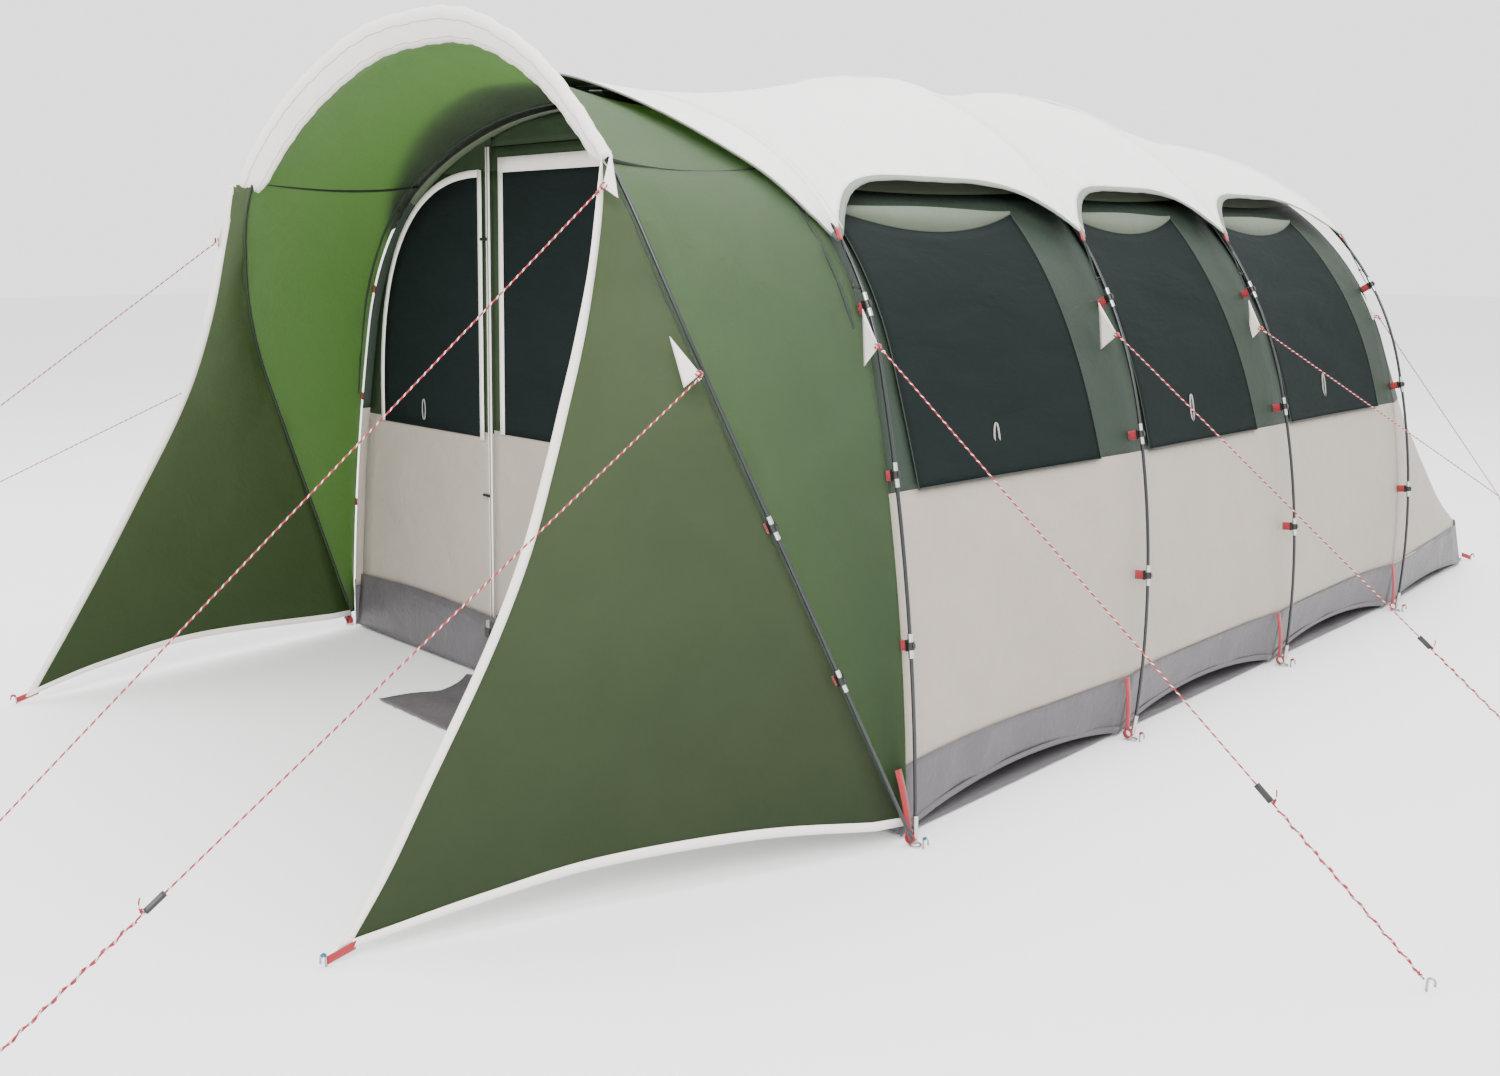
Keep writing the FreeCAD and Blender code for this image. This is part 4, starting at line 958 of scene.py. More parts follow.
def buildFront():
    half, low, high = frontWall["doorHalf"], frontWall["doorLow"], frontWall["doorHigh"]
    seam, shoulder, foot = frontWall["seam"], frontWall["shoulder"], rear["top"]
    upper, lower = [], []
    for left, right in ((-2, -half), (half, 2)):
        lower.append(frontGrid(left, right, foot, seam, 14, 16))
        upper.append(frontGrid(left, right, seam, shoulder, 14, 20))
    upper.append(frontGrid(-half, half, high, frontWall["crown"] - 0.005, 24, 5))
    for side in (-1, 1):
        rows = []
        for height in np.linspace(shoulder, 1.862, 7):
            outer = max(archHalfWidth(height) - 0.003, half + 0.001)
            ends = sorted((side * half, side * outer))
            rows.append([onFront(x, 0, height) for x in np.linspace(*ends, 14)])
        upper.append(np.array(rows))
    item = meshFrom("front-wall-green", [ripple(g, 0.006, 0.2, 2.0) for g in upper], cloth["greenDeep"])
    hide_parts("front_wall")
    item = meshFrom("front-wall-beige", [ripple(g, 0.010, 0.25, 6.0) for g in lower], cloth["beige"])
    under = [frontGrid(-half, half, foot, low, 12, 3)]
    item = meshFrom("front-sill-strip", under, cloth["beige"])
    near, bottom, wide = frontWall["windowNear"], frontWall["windowLow"], frontWall["trim"]
    panes, trims = [], []
    for side in (1, -1):
        outline = quarterOutline(side)
        corner = side * near
        rows = []
        for x, height in outline:
            fan = np.linspace(0, 1, 12)
            out, up = x - corner, height - bottom
            rows.append([onFront(corner + out * q, -0.004, bottom + up * q) for q in fan])
        panes.append(np.array(rows))
        trims.append(band(outline, wide, -0.0065))
        post = straight((corner, bottom - 0.01), (corner, frontWall["windowHigh"] + 0.01))
        trims.append(band(post, wide, -0.0068))
    item = meshFrom("front-windows", panes, cloth["window"])
    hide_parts("front_windows")
    zips = (-half - 0.016, half + 0.016)
    for x in zips:
        trims.append(band(straight((x, low), (x, high)), wide, -0.0050))
    item = meshFrom("front-trims", trims, cloth["cream"], 0.0012)
    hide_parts("zip_tapes")
    teeth = [np.array([onFront(x, -0.0068, height) for height in np.linspace(low, high, 60)]) for x in zips]
    coil = tubeMesh("zip-coils", teeth, 0.0022, cloth["edge"], 8)
    skirt = []
    for q in np.linspace(0, 1, 8):
        row = []
        for x in np.linspace(-1.395, 1.395, int(60 * fine) + 20):
            height = frontWall["skirt"] * q + 0.010 * math.sin(5 * x) * q
            row.append(onFront(x * (1 - 0.012 * q), -0.012 - 0.014 * (1 - q), max(skirts["ground"], height)))
        skirt.append(row)
    skirt = ripple(np.array(skirt), 0.009, 0.12, 9.0)
    item = meshFrom("front-skirt", [skirt], cloth["grey"])


door = {
    "half": 0.455,
    "low": 0.228,
    "high": 1.815,
    "seam": 0.880,
    "border": 0.060,  # width of the cloth round the window
    "head": 0.075,
    "trim": 0.026,
    "headTrim": 0.048,
}


def buildDoor():
    half, low, high, seam, head = (door[key] for key in ("half", "low", "high", "seam", "head"))
    bottom = frontGrid(-half, half, low, seam, 24, 22, -0.001)
    bottom = ripple(bottom, 0.008, 0.2, 12.0)
    item = meshFrom("door-lower-cloth", [bottom], cloth["beige"], body="door")
    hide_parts("front_door")
    frameParts = [
        frontGrid(-half, half, high - head, high, 24, 4, -0.001),
        frontGrid(-half, -half + door["border"], seam, high - head, 4, 20, -0.001),
        frontGrid(half - door["border"], half, seam, high - head, 4, 20, -0.001),
    ]
    item = meshFrom("door-frame-cloth", frameParts, cloth["greenDeep"], body="door")
    pane = frontGrid(-half + 0.05, half - 0.05, seam - 0.008, high - 0.07, 24, 26, -0.004)
    pane = ripple(pane, 0.008, 0.13, 15.0, (1, 1, 0.5))
    item = meshFrom("door-window", [pane], cloth["window"], body="door")
    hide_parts("door_window")
    side, top = half - 0.058, high - 0.072
    across = straight((-side - 0.013, top + 0.014), (side + 0.013, top + 0.014))
    trims = [band(straight((x, seam - 0.01), (x, top)), door["trim"], -0.007) for x in (-side, side)]
    trims.append(band(across, door["headTrim"], -0.0073))
    item = meshFrom("door-trims", trims, cloth["cream"], 0.0012, body="door")


buildFront()
buildDoor()
print("stage: front")


# the front edge of each wing from the pole down to its tip, and the hem from the tip back to the foot
wings = {
    "right": {
        "edge": ((0.966, -0.583, 1.690), (1.000, -0.647, 1.467), (1.018, -0.708, 1.294),
                 (1.019, -0.752, 1.164), (1.018, -0.803, 1.013), (1.011, -0.873, 0.82),
                 (0.997, -0.975, 0.61), (0.971, -1.128, 0.342), (0.955, -1.227, 0.17),
                 (0.935, -1.325, 0.022)),
        "hem": ((0.935, -1.325, 0.022), (0.966, -1.243, 0.036), (1.041, -1.035, 0.070), (1.137, -0.77, 0.100),
                (1.283, -0.395, 0.095), (1.405, -0.06, 0.050)),
        "tip": (0.932, -1.337),
    },
    "left": {
        "edge": ((-0.972, -0.570, 1.690), (-1.050, -0.577, 1.540), (-1.115, -0.629, 1.253),
                 (-1.167, -0.715, 0.987), (-1.224, -0.885, 0.658), (-1.282, -1.063, 0.331),
                 (-1.334, -1.245, 0.022)),
        "hem": ((-1.334, -1.245, 0.022), (-1.345, -1.002, 0.070), (-1.371, -0.638, 0.095),
                (-1.405, -0.06, 0.050)),
        "tip": (-1.340, -1.257),
    },
}


def smooth(points, count):
    # a Catmull-Rom line through the points
    points = np.asarray(points, float)
    padded = np.r_[[2 * points[0] - points[1]], points, [2 * points[-1] - points[-2]]]
    line = []
    for k in range(1, len(padded) - 2):
        a, b, c, d = padded[k - 1:k + 3]
        for share in np.linspace(0, 1, 14, endpoint=False):
            curve = (2 * a - 5 * b + 4 * c - d) * share ** 2 + (3 * b - a - 3 * c + d) * share ** 3
            line.append(0.5 * (2 * b + (c - a) * share + curve))
    line.append(points[-1])
    return evenly(np.array(line), count)


def buildCanopy():
    rim, join = porchPole["rim"], 1.700  # the canopy's two halves are sewn together at the join height
    count = int(110 * fine) + 31
    rows = [canopyRow(share, count) for share in np.linspace(0, 1, int(26 * fine) + 8)]
    grid = ripple(np.array(rows), 0.007, 0.30, 7.7)
    grid = puckers(grid, 0.008, 70, 0.16, "row")
    grid = puckers(grid[::-1], 0.008, 60, 0.14, "row")[::-1]
    item = meshFrom("porch-canopy", [grid], cloth["canopy"])
    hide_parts("porch_canopy")
    inside, outside = [], []
    for side in (1, -1):
        front = legAt(porchLine(rim), [join], side)[0]
        back = legAt(hoopLine(0, -rim), [join], side)[0]
        for lines, shift in ((inside, -0.005), (outside, 0.002)):
            line = []
            for share in np.linspace(0.02, 1, 20):
                spot = front + (back - front) * share
                spot += np.array([-side * 0.018, 0, -0.022]) * 4 * share * (1 - share)
                line.append(spot + [side * shift, 0, shift * 0.4])
            lines.append(line)
        # the dark tube along each porch pole leg inside the wing is partly the seam there and partly painted
        # shadow of the pole seen through the cloth
        heights = np.linspace(0.10, porchPole["bandLow"], 30)
        inside.append(legAt(porchLine(rim + 0.003), heights, side))
    ring = canopyRow(0.055, 120, 0.95) - [0, 0, 0.003]
    inside.append(ring[12:])
    seam = tubeMesh("canopy-seams-and-pole-shadow-inside", inside, 0.0045, cloth["seam"], 8)
    seam = tubeMesh("canopy-seams-outside", outside, 0.0012, cloth["seam"], 6)


def buildWing(side, name):
    up = int(46 * fine) + 14
    across = int(30 * fine) + 8
    edgeLine = smooth(np.array(wings[name]["edge"]) + [0, yShift, 0], up)[::-1]
    hemLine = smooth(np.array(wings[name]["hem"]) + [0, yShift, 0], across)[::-1]
    heights = np.linspace(0.05, porchPole["bandLow"], up)
    back = legAt(porchLine(porchPole["rim"]), heights, side) + [0, -0.002, 0]
    grid = back[:, None] + (edgeLine - back)[:, None] * np.linspace(0, 1, across)[:, None]
    drop = hemLine - grid[0]
    for i in range(up):
        fade = max(0.0, 1 - i / (up * 0.45)) ** 1.6
        grid[i] += drop * fade
    grid[:, 0] = back
    bow = np.sin(np.linspace(0, math.pi, across))
    lift = np.sin(np.linspace(0, math.pi, up))
    grid[:, :, 0] -= side * 0.030 * lift[:, None] * bow[None, :]
    frontEdge = grid[:, -1].copy()
    grid = ripple(grid, 0.014, 0.26, 21.0 + side)
    grid = puckers(grid, 0.010, 34, 0.18)
    grid[:, -1] = frontEdge
    item = meshFrom(f"porch-wing-{name}", [grid], cloth["wing"])
    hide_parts(f"porch_wing_{name}")
    bands = []
    for line, inner in ((grid[:, -1], grid[:, -2]), (grid[0], grid[1])):
        way = line - inner
        way /= np.linalg.norm(way, axis=1)[:, None]
        out = np.array([side * 0.0022, -0.001, 0])
        for face in (1, -1):
            strips = [line + way * reach + out * face for reach in (-0.022, -0.010, 0.003)]
            bands.append(np.stack(strips, axis=1))
    return bands


# section of the pale band: out from the pole's line, and back; seven points round it, then the flange
sleeve = {
    "round": ((-0.010, 0.008), (0.000, 0.0105), (0.0085, 0.007), (0.0110, 0.0), (0.0080, -0.008),
              (-0.001, -0.0110), (-0.011, -0.008)),
    "flange": ((-0.022, -0.001), (-0.036, 0.008), (-0.050, 0.017), (-0.064, 0.028), (-0.077, 0.038)),
    "taper": 0.06,  # the flange narrows over this height at its ends
}


def buildSleeve():
    low, seat = porchPole["bandLow"], sleeve["round"][-1][0]
    line = above(porchLine(0.0), low)
    line = evenly(line, int(90 * fine) + 30) + [0, -0.013, 0]
    centre = np.array([0, 0, 0.9])
    rows = []
    for k, spot in enumerate(line):
        out = spot - centre
        out[1] = 0
        out /= np.linalg.norm(out)
        wobble = 0.0015 * math.sin(k * 0.9) + 0.001 * math.sin(k * 2.3)
        narrow = 0.45 + 0.55 * min(1.0, (spot[2] - low) / sleeve["taper"])
        fold = 0.0022 * math.sin(k * 1.7 + 2 * math.sin(k * 0.37))
        row = [spot + out * (a + wobble) + [0, b, 0] for a, b in sleeve["round"]]
        for n, (a, b) in enumerate(sleeve["flange"], 1):
            away = seat + (a - seat) * narrow
            row.append(spot + out * (away + wobble) + [0, b + fold * math.sin(math.pi * n / 5), 0])
        rows.append(row)
    grid = np.array(rows)
    item = meshFrom("porch-sleeve", [grid], cloth["cream"], 0.002)
    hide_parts("porch_sleeve")
    stitches = [grid[:, row] + [0, -0.0015, 0] for row in (7, 10)]
    stitch = tubeMesh("sleeve-stitching", stitches, 0.0008, cloth["beige"], 5)


def buildPorch():
    buildCanopy()
    bands = []
    for side, name in ((1, "right"), (-1, "left")):
        bands += buildWing(side, name)
    item = meshFrom("porch-binding", bands, cloth["cream"], 0.0012)
    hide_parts("porch_binding")
    buildSleeve()
    buildMat()


mat = {"front": -0.400, "length": 0.385, "half": 0.525, "waist": 0.072, "neck": 0.47}


def buildMat():
    # loose ground cloth before the door, narrower at its waist and lifted where it meets the wall
    rows = []
    for q in np.linspace(0, 1, 22):
        y = mat["front"] + mat["length"] * q
        half = mat["half"] - mat["waist"] * math.sin(math.pi * min(1, q * 1.1)) if q < 0.91 else mat["neck"]
        row = []
        for x in np.linspace(-half, half, 50):
            edge = 0.006 * noise.noise(Vector((x * 30, 0, 0))) if q == 0 else 0
            wrinkle = 0.020 * max(0, noise.noise(Vector((x * 3, y * 5, 2))))
            lift = 0.006 + wrinkle + 0.06 * max(0, q - 0.75) ** 1.2
            row.append((x, y + yShift + edge, lift))
        rows.append(row)
    grid = np.array(rows)
    item = meshFrom("sill-mat", [grid], cloth["grey"])
    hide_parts("sill_mat")


buildPorch()
print("stage: porch")


def placeOnPole(index, length, side=1):
    # point, direction up the pole and outward direction at an arc length from the foot
    line = hoopLine(index)
    steps = np.linalg.norm(np.diff(line, axis=0), axis=1)
    total = np.r_[0, np.cumsum(steps)]
    spot, ahead = (
        np.array([np.interp(reach, total, line[:, axis]) for axis in range(3)])
        for reach in (length, length + 0.01)
    )
    way = (ahead - spot) / np.linalg.norm(ahead - spot)
    out = np.cross(way, (0, -1, 0))
    out = out / np.linalg.norm(out)
    if out[0] < 0:
        out = -out
    mirror = np.array([side, 1, 1])
    return spot * mirror, way * mirror, out * mirror


def porchLeg(height, side):
    # the same for the straight leg of the porch pole
    foot, shoulder = (np.array(corner) for corner in porchPole["corners"][:2])
    share = (height - foot[2]) / (shoulder[2] - foot[2])
    spot = foot + (shoulder - foot) * share + [0, yShift - 0.013, 0]
    way = (shoulder - foot) / np.linalg.norm(shoulder - foot)
    mirror = np.array([side, 1, 1])
    out = np.cross(way * mirror, (0, -side, 0.25))
    return spot * mirror, way * mirror, out / np.linalg.norm(out)


clips = {
    "first": 0.520,  # along the pole from its foot
    "pitch": 0.430,
    "reach": 0.0430,  # from the pole in to the wall
    "porchHeights": (0.460, 0.850),
    "porchReach": 0.024,
    "tabWidth": 0.027,
}
clipPlaces = [
    (*placeOnPole(index, clips["first"] + clips["pitch"] * step, side), clips["reach"])
    for index in range(4) for step in range(3) for side in (1, -1)
] + [
    (*porchLeg(height, side), clips["porchReach"])
    for height in clips["porchHeights"] for side in (1, -1)
]


def boxMesh(name, boxes, material, bevel=0.0008, body="tent"):
    # one object of bevelled boxes, each given as (centre, three axes, three sizes)
    verts, faces = [], []
    corners = [(a, b, c) for a in (-1, 1) for b in (-1, 1) for c in (-1, 1)]
    quads = [(0, 1, 3, 2), (4, 6, 7, 5), (0, 4, 5, 1), (2, 3, 7, 6), (0, 2, 6, 4), (1, 5, 7, 3)]
    for centre, axes, lengths in boxes:
        base = len(verts)
        for signs in corners:
            spot = np.array(centre, float)
            for sign, axis, length in zip(signs, axes, lengths):
                spot = spot + np.array(axis) * sign * length / 2
            verts.append(tuple(spot))
        faces += [tuple(base + k for k in quad) for quad in quads]
    mesh = bpy.data.meshes.new(name)
    mesh.from_pydata(verts, [], faces)
    mesh.materials.append(material)
    item = bpy.data.objects.new(name, mesh)
    bpy.context.scene.collection.objects.link(item)
    if bevel:
        edge = item.modifiers.new("edges", "BEVEL")
        edge.width = bevel
        edge.segments = 2
    if body:
        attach(item, body)
    return item


def buildClips():
    # folded red tab from the wall round the bar of each black clip, and the clip's two ears
    tabs, ears, bars = [], [], []
    for spot, way, out, reach in clipPlaces:
        near, far = spot - out * 0.0125, spot - out * reach
        face = np.cross(out, way)
        for layer in (-0.0022, 0.0022):
            line = [near + (far - near) * q + face * layer * (1 - 0.5 * q) for q in np.linspace(0, 1, 5)]
            tabs.append(ribbonGrid(line, way, clips["tabWidth"]))
        ears.append((spot - out * 0.0118, (out, way, face), (0.0055, 0.030, 0.0085)))
        bars.append((spot + out * 0.0108, (out, way, face), (0.0030, 0.012, 0.010)))
    item = meshFrom("red-clip-tabs", tabs, red, 0.0014)
    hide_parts("clip_tabs")
    item = boxMesh("clip-ears", ears + bars, black)


feet = {"strapTop": 0.200, "strapWidth": 0.022, "loopRadius": 0.013, "loopWidth": 0.018}


def buildFeet():
    # red strap down the tub to each foot's ring, and the ring
    straps = []
    for index in range(4):
        for side in (1, -1):
            foot = np.array([side * tent["footHalfWidth"], index * tent["hoopSpacing"] + yShift, 0.0])
            top = legAt(hoopLine(index, -0.031), [feet["strapTop"]], side)[0] + [0, -0.030, 0]
            low = foot + [-side * 0.012, -0.012, 0.030]
            line = []
            for q in np.linspace(0, 1, 9):
                line.append(top + (low - top) * q + np.array([side * 0.006 * math.sin(math.pi * q), 0, 0]))
            straps.append(ribbonGrid(line, (0.12 * side, 1, 0), feet["strapWidth"]))
            loop = []
            for turn in np.linspace(0, 2 * math.pi, 17):
                reach, rise = feet["loopRadius"] * math.cos(turn), feet["loopRadius"] * math.sin(turn)
                loop.append(foot + [side * (reach - 0.010), -0.006, 0.020 + rise])
            straps.append(ribbonGrid(loop, (0, 1, 0), feet["loopWidth"]))
    item = meshFrom("foot-straps", straps, red, 0.0016)
    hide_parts("foot_straps")


pegs = {"wire": 0.0028, "cap": 0.0040, "neck": 0.022, "bend": 0.0075, "crown": 0.0085, "hook": 0.007}


def pegLine(spot, way):
    # bent wire peg: shaft, round bend and level hook with a turned-down end
    way = np.array([*way, 0.0])
    way /= np.linalg.norm(way)
    line = [spot + [0, 0, height] for height in np.linspace(0.0005, pegs["neck"], 5)]
    for turn in np.linspace(0, math.pi, 9)[1:]:
        rise = pegs["neck"] + pegs["crown"] * math.sin(turn)
        line.append(spot + way * pegs["bend"] * (1 - math.cos(turn)) + [0, 0, rise])
    line.append(line[-1] - [0, 0, pegs["hook"]])
    return np.array(line)


def buildPegs():
    bare, blue, redTips = [], [], []
    for index in range(4):
        for side in (1, -1):
            spot = np.array([side * (tent["footHalfWidth"] + 0.026), index * tent["hoopSpacing"] + yShift, 0])
            bare.append(pegLine(spot, (side, 0)))
            (blue if index == 0 else redTips).append(bare[-1][5:10])
    for side, name in ((1, "right"), (-1, "left")):
        tip = wings[name]["tip"]
        out = np.array([side * 0.33, -0.944])
        spot = np.array([tip[0] + out[0] * 0.020, tip[1] + out[1] * 0.020 + yShift, 0])
        bare.append(pegLine(spot, out))
        (blue if side > 0 else redTips).append(bare[-1][5:11])
        back = rearPlace + tent["rearReach"] + 0.017 + yShift
        corner = np.array([side * (rear["halfWidth"] + 0.017), back, 0])
        bare.append(pegLine(corner, (side, 1)))
        redTips.append(bare[-1][5:10])
    item = tubeMesh("pegs", bare, pegs["wire"], pegSteel, 10)
    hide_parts("ground_pegs")
    for name, lines, material in (("blue-peg-caps", blue, blueCap), ("red-peg-caps", redTips, redCap)):
        item = tubeMesh(name, lines, pegs["cap"], material, 10)


cornerStraps = (  # from the cloth, to the peg
    ((0.950, -1.290, 0.030), (0.9386, -1.3559, 0.012)),
    ((-1.340, -1.205, 0.030), (-1.3466, -1.2759, 0.012)),
    ((1.322, 4.400, 0.030), (1.352, 4.441, 0.012)),
    ((-1.322, 4.400, 0.030), (-1.352, 4.441, 0.012)),
)


def buildCornerStraps():
    # red webbing from the wing tips and the rear corners to their pegs
    grids = []
    for start, end in cornerStraps:
        start, end = np.array(start) + [0, yShift, 0], np.array(end) + [0, yShift, 0]
        line = [start + (end - start) * q for q in np.linspace(0, 1, 6)]
        grids.append(ribbonGrid(line, (0, 0.15, 1), 0.020))
    item = meshFrom("corner-straps", grids, red, 0.0016)


roofTies = {
    "low": 1.350,  # where the elastic ends on the pole
    "tab": 0.034,
    "tabWidth": 0.018,
    "knotShare": 0.74,
    "spread": 0.0055,
    "elastic": 0.0014,
    "knot": 0.0034,
}


def buildRoofTies():
    # red tab, doubled elastic, its knot and loose ends at every corner of the fly
    tabs, strands, knots = [], [], []
    for index in range(4):
        for side in (1, -1):
            tip = legAt(hoopLine(index, roof["clearance"]), [roof["tip"]], side)[0]
            foot = legAt(hoopLine(index, -0.008), [roofTies["low"]], side)[0] + [0, -0.025, 0]
            start = tip + [side * 0.003, -0.012, 0.004]
            way = (foot - start) / np.linalg.norm(foot - start)
            end = start + way * roofTies["tab"]
            line = [start + (end - start) * q for q in np.linspace(0, 1, 5)]
            tabs.append(ribbonGrid(line, (0, 1, 0), roofTies["tabWidth"]))
            knot = start + (foot - start) * roofTies["knotShare"]
            for shift in (-roofTies["spread"], roofTies["spread"]):
                root, run = end + [0, shift, 0.002], knot - end - [0, shift, 0]
                strands.append([root + run * q for q in np.linspace(0, 1, 6)])
                strands.append([knot + [0, shift * 0.2, 0] + (foot - knot) * q for q in np.linspace(0, 1, 4)])
            strands.append([knot, knot + [side * 0.006, 0.010, 0.003], knot + [side * 0.008, 0.020, 0.001]])
            strands.append([knot, knot + [side * 0.005, 0.009, -0.004], knot + [side * 0.008, 0.018, -0.007]])
            knots.append([knot - way * 0.005, knot, knot + way * 0.005])
    item = meshFrom("roof-corner-tabs", tabs, red, 0.0022)
    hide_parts("roof_corner_tabs")
    item = tubeMesh("roof-elastics", strands, roofTies["elastic"], elastic, 8)
    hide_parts("roof_elastics")
    item = tubeMesh("elastic-knots", knots, roofTies["knot"], elastic, 10)


# each guy line: tip, upper and lower corner of its patch on the cloth, and the end at its peg
guyRoutes = {
    "porch_upper": (
        (0.989, -0.605, 1.622), (0.983, -0.569, 1.706),
        (1.005, -0.569, 1.602), (0.490, -2.210, 0.024),
    ),
    "porch_lower": (
        (1.205, -0.500, 1.215), (1.140, -0.540, 1.300),
        (1.164, -0.520, 1.185), (0.950, -2.090, 0.024),
    ),
    "front": (
        (1.300, 0.000, 1.255), (1.232, 0.012, 1.345),
        (1.240, 0.012, 1.205), (2.614, 0.204, 0.024),
    ),
    "second": (
        (1.320, 1.080, 1.235), (1.235, 1.100, 1.330),
        (1.250, 1.100, 1.190), (2.400, 1.740, 0.024),
    ),
    "third": (
        (1.300, 2.080, 1.210), (1.235, 2.095, 1.310),
        (1.250, 2.095, 1.165), (2.190, 4.020, 0.024),
    ),
    "rear": (
        (1.272, 3.200, 1.210), (1.190, 3.203, 1.310),
        (1.205, 3.203, 1.165), (1.470, 4.950, 0.024),
    ),
    "left_porch": (
        (-1.088, -0.579, 1.510), (-1.034, -0.600, 1.600),
        (-1.056, -0.590, 1.485), (-2.150, -2.280, 0.024),
    ),
    "left_front": (
        (-1.300, 0.000, 1.255), (-1.232, 0.012, 1.345),
        (-1.240, 0.012, 1.205), (-2.950, -2.000, 0.024),
    ),
}


def guySpots(name):
    return [np.array(spot) + [0, yShift, 0] for spot in guyRoutes[name]]


def buildPatches():
    # pale triangles on the cloth with a red loop at the outer corner
    places = [guySpots(name)[:3] for name in guyRoutes]
    for name in ("porch_lower", "second", "third", "rear"):
        places.append([spot * [-1, 1, 1] for spot in guySpots(name)[:3]])
    grids, loops = [], []
    for tip, high, low in places:
        middle = (high + low) / 2
        inward = (middle - tip) / np.linalg.norm(middle - tip)
        back = tip + inward * 0.006
        rows = []
        for q in np.linspace(0, 1, 7):
            a, b = back + (high - back) * q, back + (low - back) * q
            rows.append([a + (b - a) * p for p in np.linspace(0, 1, 7)])
        grids.append(np.array(rows))
        normal = np.cross(high - back, low - back)
        normal /= np.linalg.norm(normal)
        across = np.cross(normal, inward)
        line = []
        for turn in np.linspace(0.5, 2 * math.pi - 0.5, 13):
            line.append(tip + inward * (0.009 + 0.008 * math.cos(turn)) + across * 0.006 * math.sin(turn))
        loops.append(ribbonGrid(line, normal, 0.012))
    item = meshFrom("guy-patches", grids, cloth["cream"], 0.0018)
    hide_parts("guy_patches")
    item = meshFrom("guy-loops", loops, red, 0.0016)
    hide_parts("guy_loops")


ties = {"height": 0.985, "length": 0.045, "width": 0.006, "doorTies": ((-0.89, 0.916), (0.895, 0.95))}


def buildTies():
    # webbing loops at the foot of the side windows, and toggles beside the door
    loops = []
    for bay in range(3):
        for side in (1, -1):
            line = []
            for turn in np.linspace(-math.pi / 2, 1.5 * math.pi, 15):
                height = ties["height"] + ties["length"] * math.sin(turn)
                spot = wallPoint(side, bay, 0.44 + 0.010 * math.cos(turn), height, -0.0350)
                line.append(spot + [side * 0.003 * (1 + math.sin(turn)), 0, 0])
            loops.append(ribbonGrid(line, (0.2, 1, 0), ties["width"]))
    for x, height in ties["doorTies"]:
        line = []
        for turn in np.linspace(-math.pi / 2, 1.5 * math.pi, 15):
            line.append(onFront(x + 0.010 * math.cos(turn), -0.010, height + 0.038 * math.sin(turn)))
        loops.append(ribbonGrid(line, (1, 0, 0), ties["width"]))
    item = meshFrom("window-loops", loops, greyWeb, 0.0012)
    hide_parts("window_loops")
    strap = []
    for q in np.linspace(0, 1, 9):
        strap.append(onFront(-0.466 + 0.045 * q, -0.030 - 0.010 * math.sin(math.pi * q), 0.212 - 0.100 * q))
    grid = ribbonGrid(strap, (1, 0, 0.35), 0.020)
    item = meshFrom("sill-strap", [grid], cloth["beige"], 0.0014)
    upright = ((1, 0, 0), (0, 1, 0), (0, 0, 1))
    buckle = boxMesh("sill-buckle", [(onFront(-0.448, -0.043, 0.172), upright, (0.030, 0.006, 0.034))], black)


paint(["pole_hoop_front", "pole_hoop_second", "pole_hoop_third", "pole_hoop_rear", "porch_pole"], poleSkin)
paint(["pole_ferrules", "pole_tips", "foot_pins", "foot_rings"], steel)
paint(["pole_clips", "door_toggles", "zip_pull"], black)
buildClips()
buildFeet()
buildPegs()
buildCornerStraps()
buildRoofTies()
buildPatches()
buildTies()
print("stage: fittings")


guyLine = {
    "diameter": 0.004,
    "strand": 0.0015,  # radius of the second strand wound round it near the peg
    "doubled": 0.418,
    "windPitch": 0.045,
    "runnerFromPeg": 0.450,
    "runnerHalf": 0.023,
    "squashKeep": 0.17,  # what is left of the doubled strand when the runner is at the peg
}


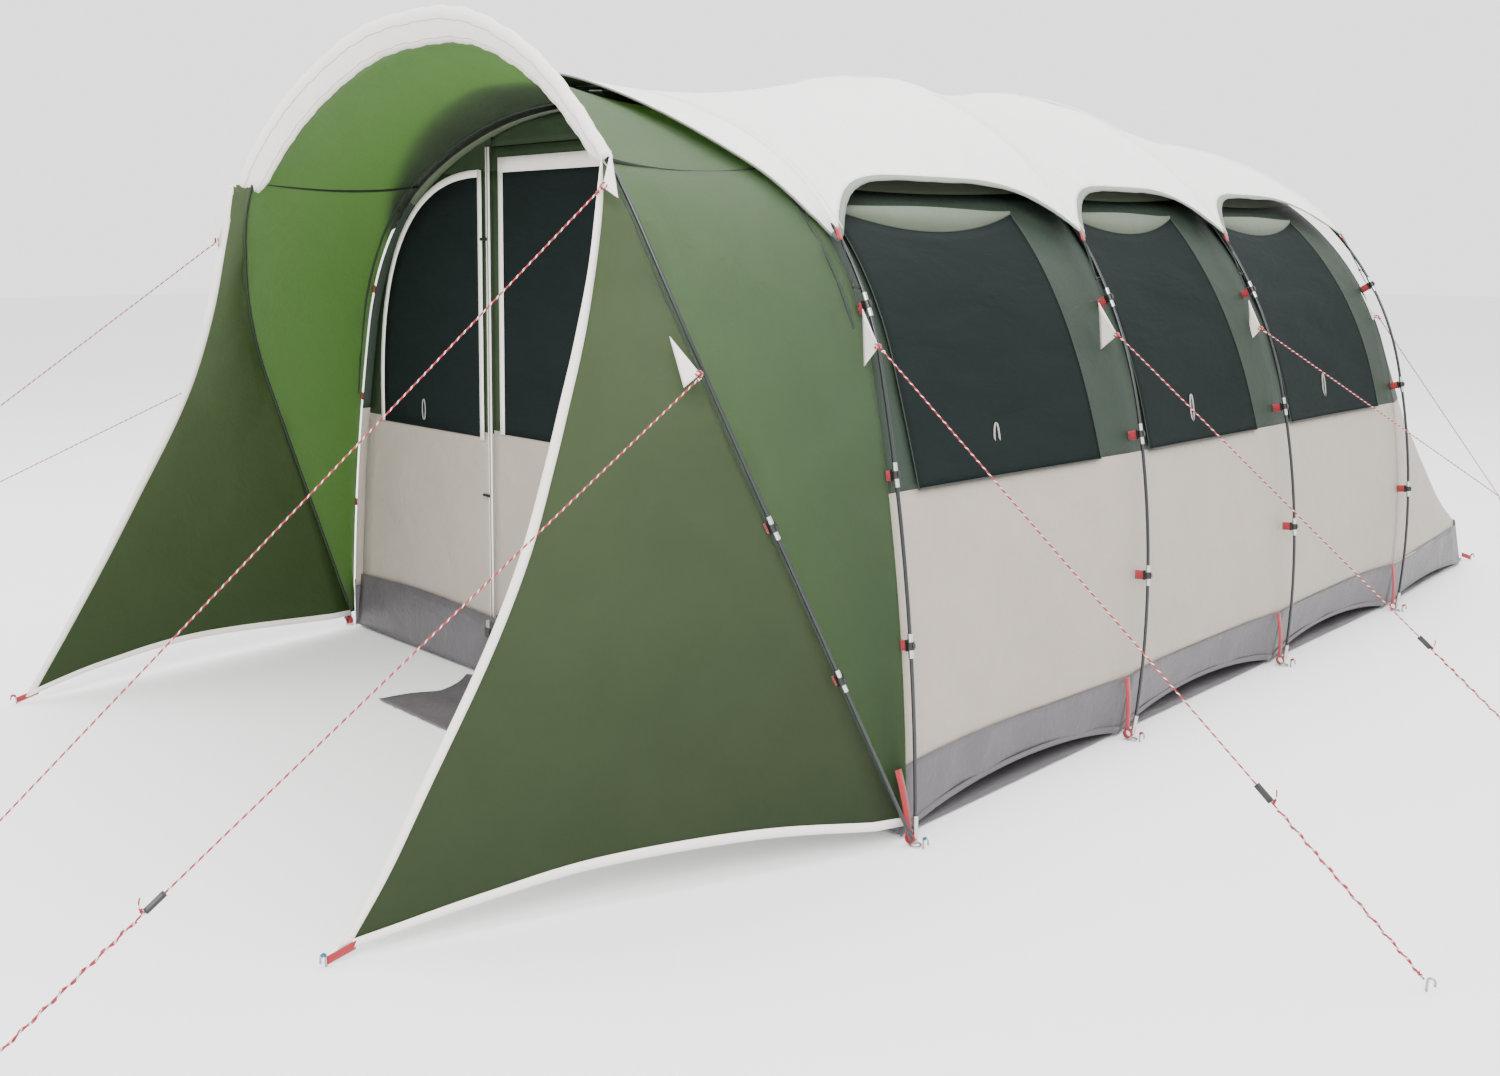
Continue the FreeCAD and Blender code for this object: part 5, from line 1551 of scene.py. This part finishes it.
def buildGuyLines():
    guyPegs = []
    for name in guyRoutes:
        spots = guySpots(name)
        start, end = Vector(spots[0]), Vector(spots[3])
        length = (end - start).length
        way = (end - start).normalized()
        line = np.array([(0, 0, length * k / 60) for k in range(61)])
        item = tubeMesh(f"guy-line-{name}", [line], guyLine["diameter"] / 2, cordSkin, 8, body=None)
        item.location = start
        item.rotation_euler = way.to_track_quat("Z", "Y").to_euler()
        bpy.context.view_layer.update()
        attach(item, "tent")
        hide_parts(f"guy_line_{name}")
        flat = np.array([way.x, way.y])
        flat /= np.linalg.norm(flat)
        foot = np.array([end.x, end.y, 0]) + np.array([*flat, 0]) * 0.006
        guyPegs.append(pegLine(foot, flat))
        buildTwist(name, end, way)
        buildRunner(name, end, way)
    item = tubeMesh("guy-pegs", guyPegs, pegs["wire"], pegSteel, 10)
    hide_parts("guy_pegs")
    knots = []
    for name in guyRoutes:
        spots = guySpots(name)
        way = (spots[3] - spots[0]) / np.linalg.norm(spots[3] - spots[0])
        side = np.cross(way, (0, 0, 1))
        other = np.cross(side, way)
        for end in (spots[0] + way * 0.012, spots[3] - way * 0.012):
            loop = []
            for turn in np.linspace(0, 4 * math.pi, 33):
                spot = end + way * 0.0035 * (turn / math.pi - 2)
                loop.append(spot + 0.0035 * (math.cos(turn) * side + math.sin(turn) * other))
            knots.append(loop)
    item = tubeMesh("line-knots", knots, 0.0018, cordSkin, 8)


def buildTwist(name, end, way):
    # the second strand, wound round the line from the runner down to the peg
    line = []
    step, away, reach = 0.004, 0.0036, guyLine["doubled"]
    for k in range(int(reach / step)):
        z = step * k - reach
        turn = z / guyLine["windPitch"] * 2 * math.pi
        line.append((away * math.cos(turn), away * math.sin(turn), z))
    item = tubeMesh(f"doubled-strand-{name}", [np.array(line)], guyLine["strand"], cordSkin, 6, body=None)
    item.location = end - way * 0.010
    item.rotation_euler = way.to_track_quat("Z", "Y").to_euler()
    bpy.context.view_layer.update()
    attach(item, "tent")
    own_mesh(item)


def buildRunner(name, end, way):
    # thin slider with rounded ends on the CAD core, and the knotted tail at its lower end
    body = f"runner_{name}_body"
    paint([f"runner_{name}"], black)
    centre = end - way * (guyLine["runnerFromPeg"] + guyLine["runnerHalf"])
    side = way.cross(Vector((0, 0, 1))).normalized()
    up = side.cross(way).normalized()
    ends = []
    for shift in (-0.020, 0.020):
        middle = centre + way * shift
        ring = []
        for turn in np.linspace(0, 2 * math.pi, 17):
            ring.append(np.array(middle + side * 0.0052 * math.cos(turn) + up * 0.0052 * math.sin(turn)))
        ends.append(ring)
    item = tubeMesh(f"runner-ends-{name}", ends, 0.0014, black, 6, body)
    root = centre + way * 0.021 + up * 0.0062
    tail = []
    for q in np.linspace(0, 1, 14):
        along = (0.004 + 0.010 * q) * (1 if q < 0.3 else 0.6) - 0.020 * q * q
        tail.append(np.array(root + way * along + up * 0.022 * q + side * 0.004 * math.sin(3 * q)))
    item = tubeMesh(f"tail-{name}", [tail], 0.0016, cordSkin, 8, body)
    knot = []
    for turn in np.linspace(0, 4 * math.pi, 29):
        spot = root + way * (0.002 + 0.0016 * turn / math.pi)
        knot.append(np.array(spot + side * 0.0032 * math.cos(turn) + up * 0.0032 * math.sin(turn)))
    item = tubeMesh(f"tail-knot-{name}", [knot], 0.0015, cordSkin, 6, body)


buildGuyLines()
print("stage: guy lines")
